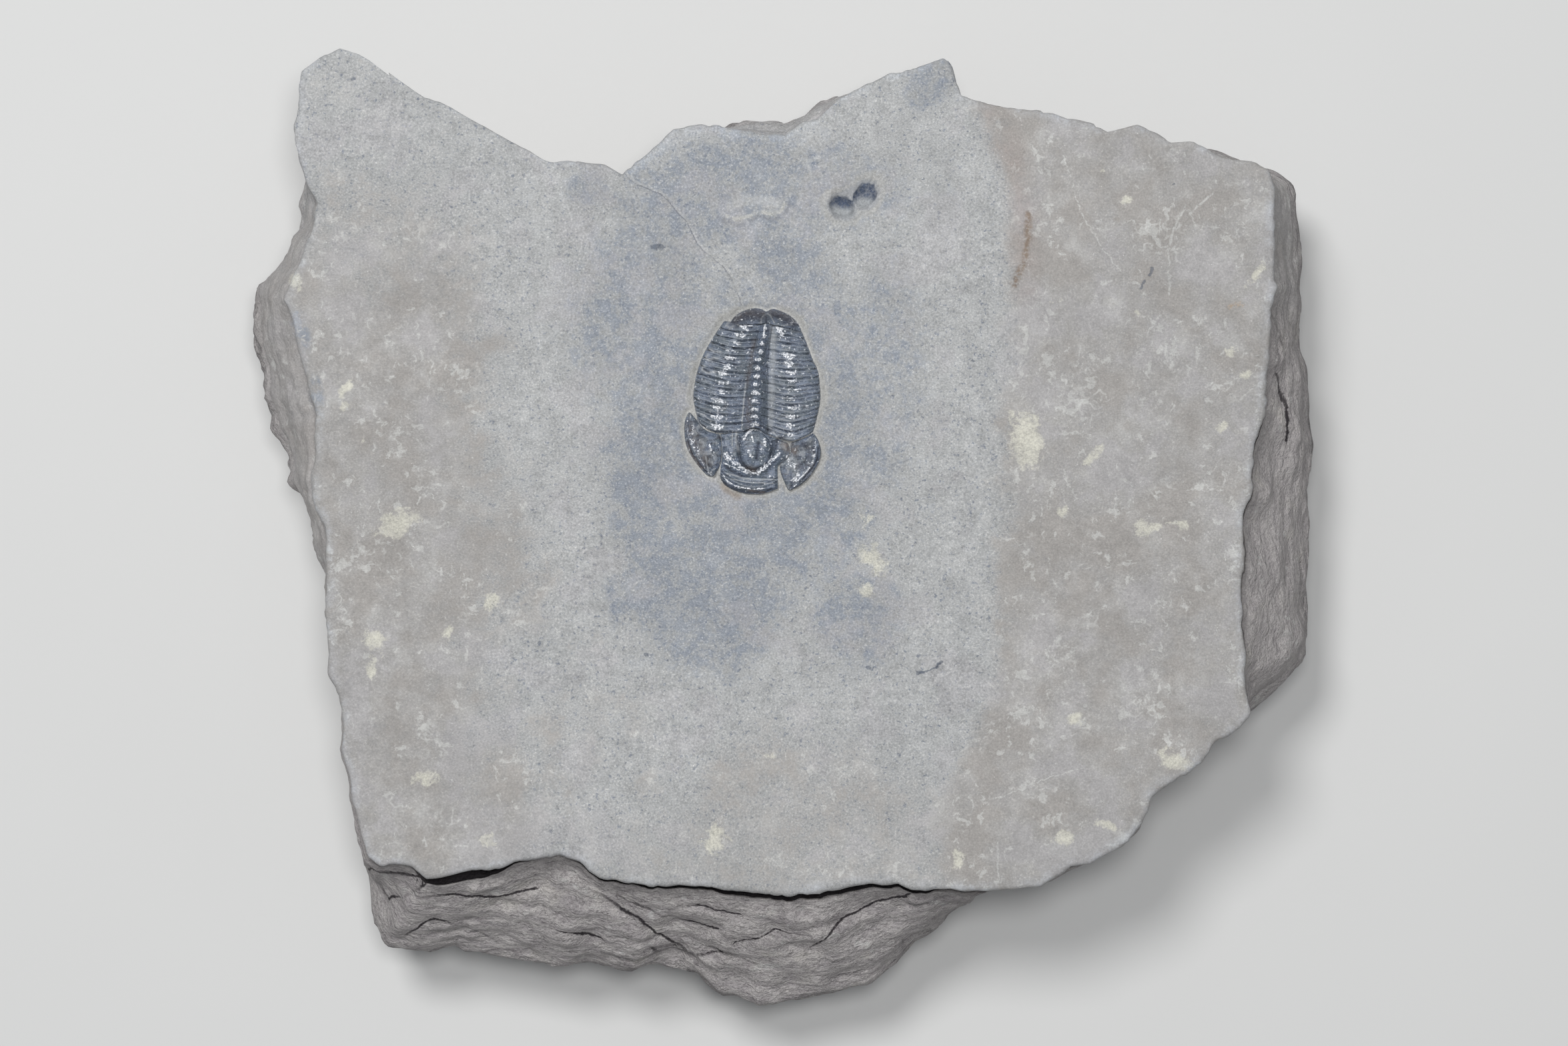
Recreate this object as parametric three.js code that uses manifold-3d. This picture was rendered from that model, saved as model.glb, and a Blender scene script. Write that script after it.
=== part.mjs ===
import * as THREE from "three";
import { mergeVertices } from "three/addons/utils/BufferGeometryUtils.js";
import Module from "manifold-3d";

// A trilobite lying in the bedding face of a loose slab of laminated shale.
// Millimetres, +Z up. The slab rests on its flat underside, and the origin is the middle of that underside.
// The fossil looks up, with its head towards -Y and its tail towards +Y.

// Outlines were read from a straight-down photograph, so they are lists of photograph pixels.
// One pixel at the level of the bedding face is MM_PER_PX, and the lens stands VIEW_HEIGHT above that face.
const MM_PER_PX = 0.08;
const VIEW_CENTRE_PX = [1175.5, 784];
const VIEW_HEIGHT = 522;
const VIEW_CENTRE = [-0.31, 0.61];

const SLAB_HEIGHT = 26;
const WIDEST_DEPTH = 13.5;
const LAMINA_RIPPLE = 0.32;
const FACE_RELIEF = 0.3;

const POCKET_DEPTH = 0.85;
const POCKET_MOAT = 0.85;
const PIECE_FOOT = -0.8;

const SEGMENT_COUNT = 13;
const SEGMENT_GAP = 0.05;
const AXIS_STRETCH = 0.045;
const AXIS_CREST = 1.3;
const AXIS_ROUNDNESS = 0.7;
const PLEURA_CREST = 0.72;
const FURROW_LEVEL = 0.4;
const TIP_LEVEL = -0.12;
const GLABELLA_CREST = 1.25;

// The upper plate's edge, clockwise from the top left.
const PLATE_OUTLINE_PX = [
  [510, 71], [542, 81], [571, 100], [599, 125], [631, 143], [663, 153], [719, 185], [768, 212],
  [819, 239], [861, 239], [904, 244], [933, 260], [952, 243], [969, 227], [991, 209], [1008, 190],
  [1037, 187], [1069, 187], [1128, 196], [1177, 200], [1200, 183], [1226, 174], [1255, 147],
  [1282, 132], [1333, 111], [1373, 99], [1412, 87], [1422, 90], [1436, 121], [1444, 138],
  [1481, 152], [1552, 163], [1603, 175], [1639, 184], [1664, 195], [1705, 186], [1741, 200],
  [1759, 211], [1792, 209], [1833, 233], [1889, 245], [1907, 254], [1914, 290], [1913, 346],
  [1913, 419], [1919, 427], [1908, 462], [1909, 498], [1901, 565], [1898, 624], [1883, 664],
  [1880, 716], [1879, 746], [1869, 766], [1869, 825], [1863, 882], [1863, 915], [1870, 981],
  [1868, 1031], [1876, 1061], [1878, 1074], [1858, 1096], [1822, 1115], [1816, 1131],
  [1783, 1161], [1744, 1183], [1728, 1198], [1720, 1220], [1694, 1263], [1654, 1287],
  [1635, 1297], [1606, 1302], [1563, 1332], [1522, 1336], [1461, 1337], [1399, 1336],
  [1367, 1336], [1345, 1327], [1301, 1327], [1266, 1333], [1202, 1341], [1178, 1344],
  [1115, 1337], [1066, 1334], [1020, 1330], [971, 1331], [921, 1322], [896, 1318], [871, 1296],
  [836, 1282], [804, 1290], [769, 1294], [751, 1302], [704, 1307], [657, 1318], [637, 1318],
  [613, 1300], [584, 1297], [569, 1303], [549, 1286], [538, 1251], [530, 1208], [520, 1162],
  [510, 1128], [512, 1082], [509, 1050], [490, 1012], [489, 959], [485, 929], [487, 900],
  [485, 847], [485, 791], [465, 748], [464, 724], [472, 657], [471, 625], [455, 554], [443, 522],
  [429, 459], [421, 447], [433, 423], [446, 392], [465, 338], [475, 305], [460, 281], [450, 248],
  [438, 213], [438, 195], [446, 160], [444, 124], [450, 102], [478, 81],
];

// The widest line of the rock below the plate, clockwise from the top left. Where the plate hides
// it, it runs a little way inside the plate's edge.
const BODY_OUTLINE_PX = [
  [470, 120], [520, 105], [600, 160], [680, 190], [770, 235], [860, 262], [925, 290], [1010, 215],
  [1069, 205], [1115, 186], [1138, 183], [1183, 182], [1206, 174], [1229, 153], [1255, 146],
  [1290, 150], [1350, 125], [1405, 115], [1425, 160], [1500, 178], [1600, 195], [1665, 215],
  [1700, 210], [1760, 232], [1800, 232], [1890, 262], [1924, 279], [1932, 300], [1943, 352],
  [1946, 419], [1947, 498], [1957, 588], [1955, 614], [1961, 661], [1961, 759], [1963, 832],
  [1960, 898], [1961, 952], [1951, 995], [1923, 1018], [1893, 1038], [1876, 1051], [1850, 1075],
  [1800, 1110], [1775, 1140], [1715, 1180], [1690, 1235], [1650, 1265], [1560, 1305],
  [1500, 1312], [1459, 1338], [1455, 1350], [1432, 1364], [1406, 1394], [1371, 1413],
  [1350, 1441], [1311, 1466], [1259, 1480], [1213, 1489], [1136, 1496], [1083, 1485],
  [1041, 1450], [1020, 1440], [988, 1436], [951, 1447], [918, 1436], [880, 1435], [842, 1443],
  [763, 1428], [704, 1417], [687, 1410], [651, 1418], [588, 1405], [572, 1372], [567, 1334],
  [552, 1296], [545, 1240], [535, 1180], [528, 1110], [512, 1040], [505, 990], [500, 920],
  [497, 860], [477, 835], [469, 807], [467, 775], [455, 748], [441, 724], [433, 684], [429, 659],
  [415, 641], [409, 617], [402, 593], [404, 566], [400, 538], [389, 479], [392, 455], [395, 445],
  [408, 417], [423, 389], [435, 359], [448, 343], [456, 310], [462, 287], [468, 250], [455, 200],
  [465, 140],
];

// The side of the slab from the face down. out runs from the plate's edge (0) to the widest line
// of the rock (1), and inset is a step back from there.
const SIDE_RINGS = [
  { depth: 0, out: 0, inset: 0.75 },
  { depth: 0.5, out: 0, inset: 0.1 },
  { depth: 2.6, out: 0, inset: 0.15 },
  { depth: 3.0, out: 0, inset: 1.7 },
  { depth: 3.6, out: 0, inset: 1.6 },
  { depth: 4.0, out: 0.25, inset: 0.2 },
  { depth: 6.4, out: 0.5, inset: 0 },
  { depth: 6.8, out: 0.5, inset: 0.7 },
  { depth: 9.4, out: 0.8, inset: 0 },
  { depth: 9.8, out: 0.8, inset: 0.6 },
  { depth: WIDEST_DEPTH, out: 1, inset: 0 },
  { depth: 18.5, out: 1, inset: 0.8 },
  { depth: 19, out: 1, inset: 1.6 },
  { depth: SLAB_HEIGHT, out: 1, inset: 3 },
];
const FACE_RINGS = [0.32, 0.55, 0.8];

const SLAB_MIDDLE_PX = [1131, 600];

// The edge of the pocket that the fossil lies in, clockwise from the tail.
const POCKET_OUTLINE_PX = [
  [1149, 455], [1175, 458], [1195, 470], [1208, 486], [1219, 505], [1227, 530], [1234, 556],
  [1237, 585], [1236, 615], [1231, 640], [1234, 665], [1235, 690], [1229, 710], [1215, 724],
  [1198, 737], [1180, 743], [1160, 741], [1143, 747], [1120, 746], [1098, 740], [1080, 727],
  [1068, 724], [1054, 715], [1040, 698], [1029, 680], [1021, 660], [1019, 640], [1022, 622],
  [1031, 610], [1032, 585], [1038, 556], [1048, 528], [1062, 505], [1076, 485], [1090, 470],
  [1110, 459], [1130, 455],
];

const OVAL_PITS = [
  { centrePx: [1262, 310], size: [2.8, 2.3], depth: 0.35 },
  { centrePx: [1297, 291], size: [2.5, 2.7], depth: 0.35 },
];

// Lines that run along the thorax from the tail end to the head end, in their order across it.
const THORAX_GUIDES_PX = [
  [[1084, 488], [1069, 509], [1056, 529], [1047, 556], [1041, 580], [1040, 600], [1042, 620]],
  [[1118, 485], [1104, 523], [1092, 543], [1086, 565], [1084, 591], [1078, 615], [1076, 645]],
  [[1141, 485], [1134, 505], [1127, 532], [1123, 545], [1119, 576], [1116, 599], [1112, 646]],
  [[1149, 484], [1145, 505], [1140, 532], [1136, 555], [1134, 576], [1133, 599], [1130, 638]],
  [[1159, 487], [1156, 505], [1153, 532], [1152, 545], [1152, 576], [1151, 599], [1151, 649]],
  [[1172, 490], [1179, 511], [1181, 532], [1184, 554], [1188, 577], [1189, 610], [1186, 655]],
  [[1204, 503], [1213, 520], [1218, 538], [1226, 556], [1229, 578], [1229, 605], [1222, 642]],
];
const LEFT_TIP = 0;
const LEFT_FURROW = 2;
const AXIS_LINE = 3;
const RIGHT_FURROW = 4;
const RIGHT_TIP = 6;

const PYGIDIUM_PX = {
  rear: [
    [1097, 484], [1105, 473], [1116, 466], [1129, 462], [1141, 463.5], [1149, 467], [1159, 463],
    [1172, 467], [1184, 473], [1195, 483], [1201, 496],
  ],
  front: [
    [1098, 485.5], [1118, 483], [1141, 483], [1149, 482], [1159, 485], [1172, 488], [1199, 498],
  ],
};

const CRANIDIUM_PX = {
  rear: [
    [1080, 649], [1100, 649], [1109, 648], [1117, 644], [1129, 641], [1141, 643], [1150, 651],
    [1160, 656], [1171, 661],
  ],
  front: [
    [1079, 718], [1087, 726], [1097, 732], [1110, 737], [1124, 740], [1140, 740], [1153, 737],
    [1166, 731],
  ],
  left: [[1080, 649], [1081, 664], [1084, 680], [1084, 693], [1080, 705], [1079, 718]],
  right: [[1171, 661], [1174, 672], [1174, 685], [1168, 696], [1162, 703], [1166, 718], [1166, 731]],
};

const LEFT_CHEEK_PX = {
  rear: [
    [1034, 619], [1028, 628], [1027, 646], [1030, 663], [1037, 679], [1046, 691], [1056, 704],
    [1063, 712], [1070, 715],
  ],
  front: [
    [1036, 621], [1042, 630], [1049, 639], [1055, 648], [1066, 652], [1076, 660], [1077, 674],
    [1080, 690], [1077, 700], [1073, 713],
  ],
};

const RIGHT_CHEEK_PX = {
  rear: [
    [1220, 648], [1226, 660], [1229, 674], [1228, 688], [1223, 703], [1213, 715], [1200, 726],
    [1190, 732], [1184, 735],
  ],
  front: [
    [1217, 650], [1211, 657], [1198, 663], [1186, 666], [1178, 670], [1179, 686], [1173, 697],
    [1172, 707], [1177, 721], [1181, 733],
  ],
};

const GLABELLA = { centrePx: [1131, 673], halfWidth: 1.95, ahead: 2.5, behind: 2.1 };
const FRONT_MARGIN = { tipPx: [1131, 740], curvature: 0.106 };
const OCCIPITAL_RING = { centrePx: [1130, 646], halfWidth: 1.9, bow: 0.16 };

const MATRIX_COLOUR = 0x8f8e90;
const FOSSIL_COLOUR = 0x454b53;

// A photograph pixel as a place in millimetres, at a depth below the bedding face.
function placeOf([px, py], depth = 0) {
  const spread = MM_PER_PX * (1 + depth / VIEW_HEIGHT);
  return new THREE.Vector2(
    VIEW_CENTRE[0] + (px - VIEW_CENTRE_PX[0]) * spread,
    VIEW_CENTRE[1] - (py - VIEW_CENTRE_PX[1]) * spread,
  );
}

function smoothstep(value, low, high) {
  return THREE.MathUtils.smoothstep(value, low, high);
}

function bump(value, middle, width) {
  return Math.exp(-(((value - middle) / width) ** 2));
}

const slabMiddle = placeOf(SLAB_MIDDLE_PX);

// An outline seen from the slab's middle, as points in the order of their angle.
function polarOutline(outlinePx, depth = 0) {
  const points = outlinePx.map((px) => placeOf(px, depth).sub(slabMiddle));
  return points.sort((a, b) => a.angle() - b.angle());
}

// How far the outline is from the slab's middle in the direction of an angle.
function reachAt(points, angle) {
  const next = points.findIndex((point) => point.angle() > angle);
  const q = points[next < 0 ? 0 : next];
  const p = points.at(next < 0 ? -1 : next - 1);
  const side = q.clone().sub(p);
  const ray = new THREE.Vector2(Math.cos(angle), Math.sin(angle));
  return p.cross(side) / ray.cross(side);
}

// The bedding face is almost flat, with low swells that die out towards the fossil.
function faceHeight(x, y) {
  const away = Math.hypot(x - slabMiddle.x, y - slabMiddle.y);
  const swell = 0.65 * Math.sin(x / 19 + 0.6) * Math.cos(y / 23 - 0.4);
  const ripple = 0.35 * Math.sin(x / 9 - y / 11);
  return FACE_RELIEF * (swell + ripple) * smoothstep(away, 12, 30);
}

// The uneven edge of one lamina, by the angle round the slab.
function laminaRipple(angle, lamina) {
  const coarse = Math.sin(9 * angle + 1.7 * lamina) + Math.sin(17 * angle - 2.3 * lamina);
  const fine = Math.sin(31 * angle + 0.9 * lamina * lamina);
  return LAMINA_RIPPLE * (0.5 * coarse + 0.4 * fine);
}

function geometryOf(vertices, faces) {
  const geometry = new THREE.BufferGeometry().setFromPoints(vertices);
  geometry.setIndex(faces);
  geometry.computeVertexNormals();
  return geometry;
}

// A closed solid through rings of one count, from the top down, each anticlockwise from above.
function ringSolid(rings, topMiddle, footMiddle) {
  const count = rings[0].length;
  const vertices = [topMiddle, ...rings.flat(), footMiddle];
  const index = (ring, i) => 1 + ring * count + (i % count);
  const foot = vertices.length - 1;
  const faces = [];
  for (let i = 0; i < count; i += 1) {
    faces.push(0, index(0, i), index(0, i + 1));
    for (let ring = 0; ring < rings.length - 1; ring += 1) {
      const [a, b] = [index(ring, i), index(ring, i + 1)];
      const [c, d] = [index(ring + 1, i), index(ring + 1, i + 1)];
      faces.push(a, c, d, a, d, b);
    }
    faces.push(foot, index(rings.length - 1, i + 1), index(rings.length - 1, i));
  }
  return geometryOf(vertices, faces);
}

function slabGeometry() {
  const plate = polarOutline(PLATE_OUTLINE_PX);
  const body = polarOutline(BODY_OUTLINE_PX, WIDEST_DEPTH);
  const angles = plate.map((point) => point.angle());
  const at = (angle, reach, z) =>
    new THREE.Vector3(
      slabMiddle.x + reach * Math.cos(angle),
      slabMiddle.y + reach * Math.sin(angle),
      z,
    );
  const onFace = (angle, reach) => {
    const point = at(angle, reach, SLAB_HEIGHT);
    point.z += faceHeight(point.x, point.y);
    return point;
  };
  const edge = angles.map((angle) => reachAt(plate, angle) - SIDE_RINGS[0].inset);
  const faceRings = FACE_RINGS.map((share) =>
    angles.map((angle, i) => onFace(angle, share * edge[i])),
  );
  faceRings.push(angles.map((angle, i) => onFace(angle, edge[i])));
  const sideRings = SIDE_RINGS.slice(1).map(({ depth, out, inset }, lamina) =>
    angles.map((angle) => {
      const line = THREE.MathUtils.lerp(reachAt(plate, angle), reachAt(body, angle), out);
      const uneven = lamina < 2 ? 0 : laminaRipple(angle, lamina);
      return at(angle, line - inset + uneven, SLAB_HEIGHT - depth);
    }),
  );
  return ringSolid(
    [...faceRings, ...sideRings],
    at(0, 0, SLAB_HEIGHT),
    at(0, 0, 0),
  );
}

// The pocket has a flat floor and flares into a shallow moat where it meets the face.
function pocketGeometry() {
  const edge = polarOutline(POCKET_OUTLINE_PX);
  const ring = (outward, z) =>
    edge.map((point) => {
      const grown = point.clone().setLength(point.length() + outward).add(slabMiddle);
      return new THREE.Vector3(grown.x, grown.y, z);
    });
  const above = SLAB_HEIGHT + 1;
  const floor = SLAB_HEIGHT - POCKET_DEPTH;
  return ringSolid(
    [
      ring(POCKET_MOAT + 0.3, above),
      ring(POCKET_MOAT, SLAB_HEIGHT - 0.02),
      ring(0.12, SLAB_HEIGHT - 0.4),
      ring(0, floor),
    ],
    new THREE.Vector3(slabMiddle.x, slabMiddle.y, above),
    new THREE.Vector3(slabMiddle.x, slabMiddle.y, floor),
  );
}

function ovalPitGeometry({ centrePx, size, depth }) {
  const pit = new THREE.SphereGeometry(1, 14, 8);
  const centre = placeOf(centrePx);
  pit.scale(size[0] / 2, size[1] / 2, depth);
  pit.translate(centre.x, centre.y, SLAB_HEIGHT + faceHeight(centre.x, centre.y));
  return pit;
}

const wasm = await Module();
wasm.setup();

function solidOf(geometry) {
  const bare = geometry.clone();
  bare.deleteAttribute("normal");
  bare.deleteAttribute("uv");
  const merged = mergeVertices(bare, 1e-4);
  return new wasm.Manifold(
    new wasm.Mesh({
      numProp: 3,
      vertProperties: merged.attributes.position.array,
      triVerts: new Uint32Array(merged.index.array),
    }),
  );
}

function geometryFrom(solid) {
  const { vertProperties, triVerts } = solid.getMesh();
  const geometry = new THREE.BufferGeometry();
  geometry.setAttribute("position", new THREE.BufferAttribute(vertProperties, 3));
  geometry.setIndex(new THREE.BufferAttribute(triVerts, 1));
  geometry.computeVertexNormals();
  return geometry;
}

function matrixGeometry() {
  const hollows = [pocketGeometry(), ...OVAL_PITS.map(ovalPitGeometry)];
  const cut = (slab, hollow) => slab.subtract(solidOf(hollow));
  return geometryFrom(hollows.reduce(cut, solidOf(slabGeometry())));
}

// A curve through places read from the photograph.
function curveThrough(outlinePx) {
  const points = outlinePx.map((px) => placeOf(px));
  const curve = new THREE.SplineCurve(points);
  return (share) => curve.getPointAt(THREE.MathUtils.clamp(share, 0, 1));
}

// A patch between a rear and a front curve, whose ends are straight unless left and right curves
// are given. It returns the place at a share u across, from left to right, and v from the rear.
function patchOf({ rear, front, left, right }) {
  const [rearAt, frontAt] = [curveThrough(rear), curveThrough(front)];
  const bend = (edgePx, u, v) => {
    if (!edgePx) return new THREE.Vector2();
    const straight = rearAt(u).lerp(frontAt(u), v);
    return curveThrough(edgePx)(v).sub(straight);
  };
  return (u, v) => {
    const point = rearAt(u).lerp(frontAt(u), v);
    point.addScaledVector(bend(left, 0, v), 1 - u);
    return point.addScaledVector(bend(right, 1, v), u);
  };
}

// A closed solid with the patch as its top and a flat foot. heightAt gives the height above the
// bedding face at a place on the patch.
function patchSolid(placeAt, sharesAcross, sharesAlong, heightAt) {
  const columns = sharesAcross.length;
  const rows = sharesAlong.length;
  const vertices = [];
  for (const v of sharesAlong) {
    for (const u of sharesAcross) {
      const { x, y } = placeAt(u, v);
      vertices.push(new THREE.Vector3(x, y, SLAB_HEIGHT + heightAt(u, v, x, y)));
    }
  }
  const index = (column, row) => row * columns + column;
  const faces = [];
  const addTowards = (direction, a, b, c) => {
    const [p, q, r] = [vertices[a], vertices[b], vertices[c]];
    const turn = (q.x - p.x) * (r.y - p.y) - (q.y - p.y) * (r.x - p.x);
    if (turn * direction > 0) faces.push(a, b, c);
    else faces.push(a, c, b);
  };
  for (let row = 0; row < rows - 1; row += 1) {
    for (let column = 0; column < columns - 1; column += 1) {
      const [a, b] = [index(column, row), index(column + 1, row)];
      const [c, d] = [index(column, row + 1), index(column + 1, row + 1)];
      addTowards(1, a, b, d);
      addTowards(1, a, d, c);
    }
  }
  const rim = [];
  for (let column = 0; column < columns; column += 1) rim.push(index(column, 0));
  for (let row = 1; row < rows; row += 1) rim.push(index(columns - 1, row));
  for (let column = columns - 2; column >= 0; column -= 1) rim.push(index(column, rows - 1));
  for (let row = rows - 2; row > 0; row -= 1) rim.push(index(0, row));
  if (THREE.ShapeUtils.area(rim.map((i) => vertices[i])) < 0) rim.reverse();
  const foot = vertices.length;
  for (const i of rim) {
    vertices.push(vertices[i].clone().setZ(SLAB_HEIGHT + PIECE_FOOT));
  }
  rim.forEach((top, i) => {
    const next = (i + 1) % rim.length;
    faces.push(top, foot + i, foot + next, top, foot + next, rim[next]);
  });
  const contour = rim.map((i) => new THREE.Vector2(vertices[i].x, vertices[i].y));
  for (const [a, b, c] of THREE.ShapeUtils.triangulateShape(contour, [])) {
    addTowards(-1, foot + a, foot + b, foot + c);
  }
  return geometryOf(vertices, faces);
}

function evenShares(count) {
  return Array.from({ length: count + 1 }, (_, i) => i / count);
}

// The thorax is laid out by its guides: a line across it is a curve through one point of each.
// The axis line ends short, behind the head, so its shares are stretched a little before that.
const guides = THORAX_GUIDES_PX.map(curveThrough);

function thoraxPlace(guideNumber, share) {
  const lower = Math.min(Math.floor(guideNumber), RIGHT_TIP - 1);
  const axisShare = share * (1 + AXIS_STRETCH * (1 - share ** 5));
  const line = guides.map((guide, i) => guide(i === AXIS_LINE ? axisShare : share));
  const [before, from, to, after] = [-1, 0, 1, 2].map(
    (step) => line[THREE.MathUtils.clamp(lower + step, LEFT_TIP, RIGHT_TIP)],
  );
  const part = guideNumber - lower;
  const spline = new THREE.SplineCurve([before, from, to, after]);
  return spline.getPoint((1 + part) / 3);
}

// The height across the thorax: an arched axis, a furrow on each side of it, and pleurae that
// rise to a fulcrum and fall to their tips.
function thoraxHeight(guideNumber) {
  const fromAxis = Math.abs(guideNumber - AXIS_LINE);
  if (fromAxis < 1) {
    return FURROW_LEVEL + (AXIS_CREST - FURROW_LEVEL) * (1 - fromAxis ** 2) ** AXIS_ROUNDNESS;
  }
  if (fromAxis < 2) {
    return THREE.MathUtils.lerp(FURROW_LEVEL, PLEURA_CREST, smoothstep(fromAxis, 1, 2));
  }
  const fall = Math.cos(((fromAxis - 2) * Math.PI) / 2) ** 0.8;
  return TIP_LEVEL + (PLEURA_CREST - TIP_LEVEL) * fall;
}

// Across one segment, from its rear edge to its front edge, two crests stand beside a furrow.
function segmentRelief(guideNumber, v) {
  const onAxis = guideNumber > LEFT_FURROW && guideNumber < RIGHT_FURROW;
  const edge = Math.abs(2 * v - 1);
  const seam = -0.24 * smoothstep(edge, 0.55, 1);
  const middle = (onAxis ? 0.1 : -0.12) * (1 - smoothstep(edge, 0, 0.5));
  return seam + middle;
}

const GUIDE_STATIONS = [0, 0.2, 0.6, 1, 1.5, 2, 2.35, 3, 3.65, 4, 4.5, 5, 5.4, 5.8, 6];
const SEGMENT_STATIONS = [0, 0.2, 0.5, 0.8, 1];

function segmentGeometry(number) {
  const rearLine = SEGMENT_COUNT - number;
  const shareAt = (v) => {
    const along = THREE.MathUtils.lerp(SEGMENT_GAP, 1 - SEGMENT_GAP, v);
    return (rearLine + along) / SEGMENT_COUNT;
  };
  const placeAt = (u, v) => thoraxPlace(u * RIGHT_TIP, shareAt(v));
  const heightAt = (u, v) => {
    const towardsTail = THREE.MathUtils.lerp(0.72, 1, Math.sqrt(shareAt(v)));
    return thoraxHeight(u * RIGHT_TIP) * towardsTail + segmentRelief(u * RIGHT_TIP, v);
  };
  const across = GUIDE_STATIONS.map((station) => station / RIGHT_TIP);
  return patchSolid(placeAt, across, SEGMENT_STATIONS, heightAt);
}

function pygidiumGeometry() {
  const axis = placeOf([1149, 478]);
  const heightAt = (u, v, x) => {
    const margin = smoothstep(v, 0, 0.75);
    const ends = smoothstep(Math.min(u, 1 - u), 0, 0.2);
    return -0.05 + 0.5 * margin * ends + 0.4 * bump(x, axis.x, 0.7) * margin;
  };
  return patchSolid(patchOf(PYGIDIUM_PX), evenShares(16), evenShares(4), heightAt);
}

// The raised glabella, the roll of the cheeks round it, the occipital ring behind it, and the
// border in front with its furrow.
function cranidiumHeight(x, y) {
  const glabella = placeOf(GLABELLA.centrePx);
  const length = y < glabella.y ? GLABELLA.ahead : GLABELLA.behind;
  const q = Math.hypot((x - glabella.x) / GLABELLA.halfWidth, (y - glabella.y) / length);
  const dome = GLABELLA_CREST * Math.sqrt(Math.max(0, 1 - q * q));
  const roll = 0.5 * bump(q, 1.42, 0.26);
  const tip = placeOf(FRONT_MARGIN.tipPx);
  const inside = y - tip.y - FRONT_MARGIN.curvature * (x - tip.x) ** 2;
  const border = 0.35 * bump(inside, 0.7, 0.45) - 0.12 * bump(inside, 1.6, 0.25);
  const ring = placeOf(OCCIPITAL_RING.centrePx);
  const ringLine = ring.y - OCCIPITAL_RING.bow * (x - ring.x) ** 2;
  const ringEnds = 1 - smoothstep(Math.abs(x - ring.x), 0.6 * OCCIPITAL_RING.halfWidth, 2.1);
  return 0.35 + dome + roll + border + 0.75 * bump(y, ringLine, 0.38) * ringEnds;
}

function cranidiumGeometry() {
  const heightAt = (u, v, x, y) => {
    const edge = Math.min(u, 1 - u, v, 1 - v);
    return cranidiumHeight(x, y) * THREE.MathUtils.lerp(0.25, 1, smoothstep(edge, 0, 0.09));
  };
  const across = [0, 0.06, 0.13, 0.2, 0.27, 0.34, 0.42, 0.5, 0.58, 0.66, 0.73, 0.8, 0.87, 0.94, 1];
  const along = [0, 0.05, 0.11, 0.18, 0.26, 0.35, 0.45, 0.55, 0.64, 0.72, 0.79, 0.86, 0.93, 1];
  return patchSolid(patchOf(CRANIDIUM_PX), across, along, heightAt);
}

// A free cheek runs from its genal spine to the front: a rolled border outside, a furrow, then a
// low swelling that falls towards the eye.
function cheekGeometry(edgesPx) {
  const heightAt = (u, v) => {
    const border = 0.3 * bump(v, 0.14, 0.12);
    const field = 0.55 * bump(v, 0.68, 0.24);
    const size = smoothstep(u, 0, 0.35) * (1 - 0.6 * smoothstep(u, 0.88, 1));
    return 0.02 + (0.12 + border + field) * THREE.MathUtils.lerp(0.35, 1, size);
  };
  return patchSolid(patchOf(edgesPx), evenShares(16), [0, 0.14, 0.34, 0.6, 0.82, 1], heightAt);
}

function namedMesh(name, geometry, material) {
  const mesh = new THREE.Mesh(geometry, material);
  mesh.name = name;
  return mesh;
}

function fossilMaterial() {
  return new THREE.MeshStandardMaterial({
    color: FOSSIL_COLOUR,
    roughness: 0.38,
    metalness: 0,
  });
}

function makeTrilobite() {
  const trilobite = new THREE.Group();
  trilobite.add(namedMesh("pygidium", pygidiumGeometry(), fossilMaterial()));
  for (let number = 1; number <= SEGMENT_COUNT; number += 1) {
    const name = `thoracic_segment_${String(number).padStart(2, "0")}`;
    trilobite.add(namedMesh(name, segmentGeometry(number), fossilMaterial()));
  }
  trilobite.add(namedMesh("cranidium", cranidiumGeometry(), fossilMaterial()));
  trilobite.add(namedMesh("left_free_cheek", cheekGeometry(LEFT_CHEEK_PX), fossilMaterial()));
  trilobite.add(namedMesh("right_free_cheek", cheekGeometry(RIGHT_CHEEK_PX), fossilMaterial()));
  return trilobite;
}

function makeMatrix() {
  const material = new THREE.MeshStandardMaterial({
    color: MATRIX_COLOUR,
    roughness: 0.92,
    metalness: 0,
  });
  return namedMesh("matrix", matrixGeometry(), material);
}

const trilobiteInMatrix = new THREE.Group();
trilobiteInMatrix.add(makeMatrix(), makeTrilobite());

export default trilobiteInMatrix;
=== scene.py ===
"""A trilobite in a slab of grey laminated shale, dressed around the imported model."""

import itertools

import bpy
import numpy as np
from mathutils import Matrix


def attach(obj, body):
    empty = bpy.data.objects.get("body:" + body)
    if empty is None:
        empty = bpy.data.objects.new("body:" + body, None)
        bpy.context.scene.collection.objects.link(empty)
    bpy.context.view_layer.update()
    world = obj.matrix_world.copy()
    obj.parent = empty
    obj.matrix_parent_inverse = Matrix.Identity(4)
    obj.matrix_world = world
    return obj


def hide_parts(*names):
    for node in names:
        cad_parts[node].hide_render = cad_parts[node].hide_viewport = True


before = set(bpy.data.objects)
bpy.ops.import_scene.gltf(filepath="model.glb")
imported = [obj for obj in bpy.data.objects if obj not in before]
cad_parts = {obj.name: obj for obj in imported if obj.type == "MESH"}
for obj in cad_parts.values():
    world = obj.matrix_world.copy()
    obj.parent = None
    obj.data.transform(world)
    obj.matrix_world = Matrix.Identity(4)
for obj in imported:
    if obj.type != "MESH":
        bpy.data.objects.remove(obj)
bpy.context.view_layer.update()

# Shapes are worked out in millimetres and become metres when a mesh is made.
MM = 0.001
TAU = 2 * np.pi

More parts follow.
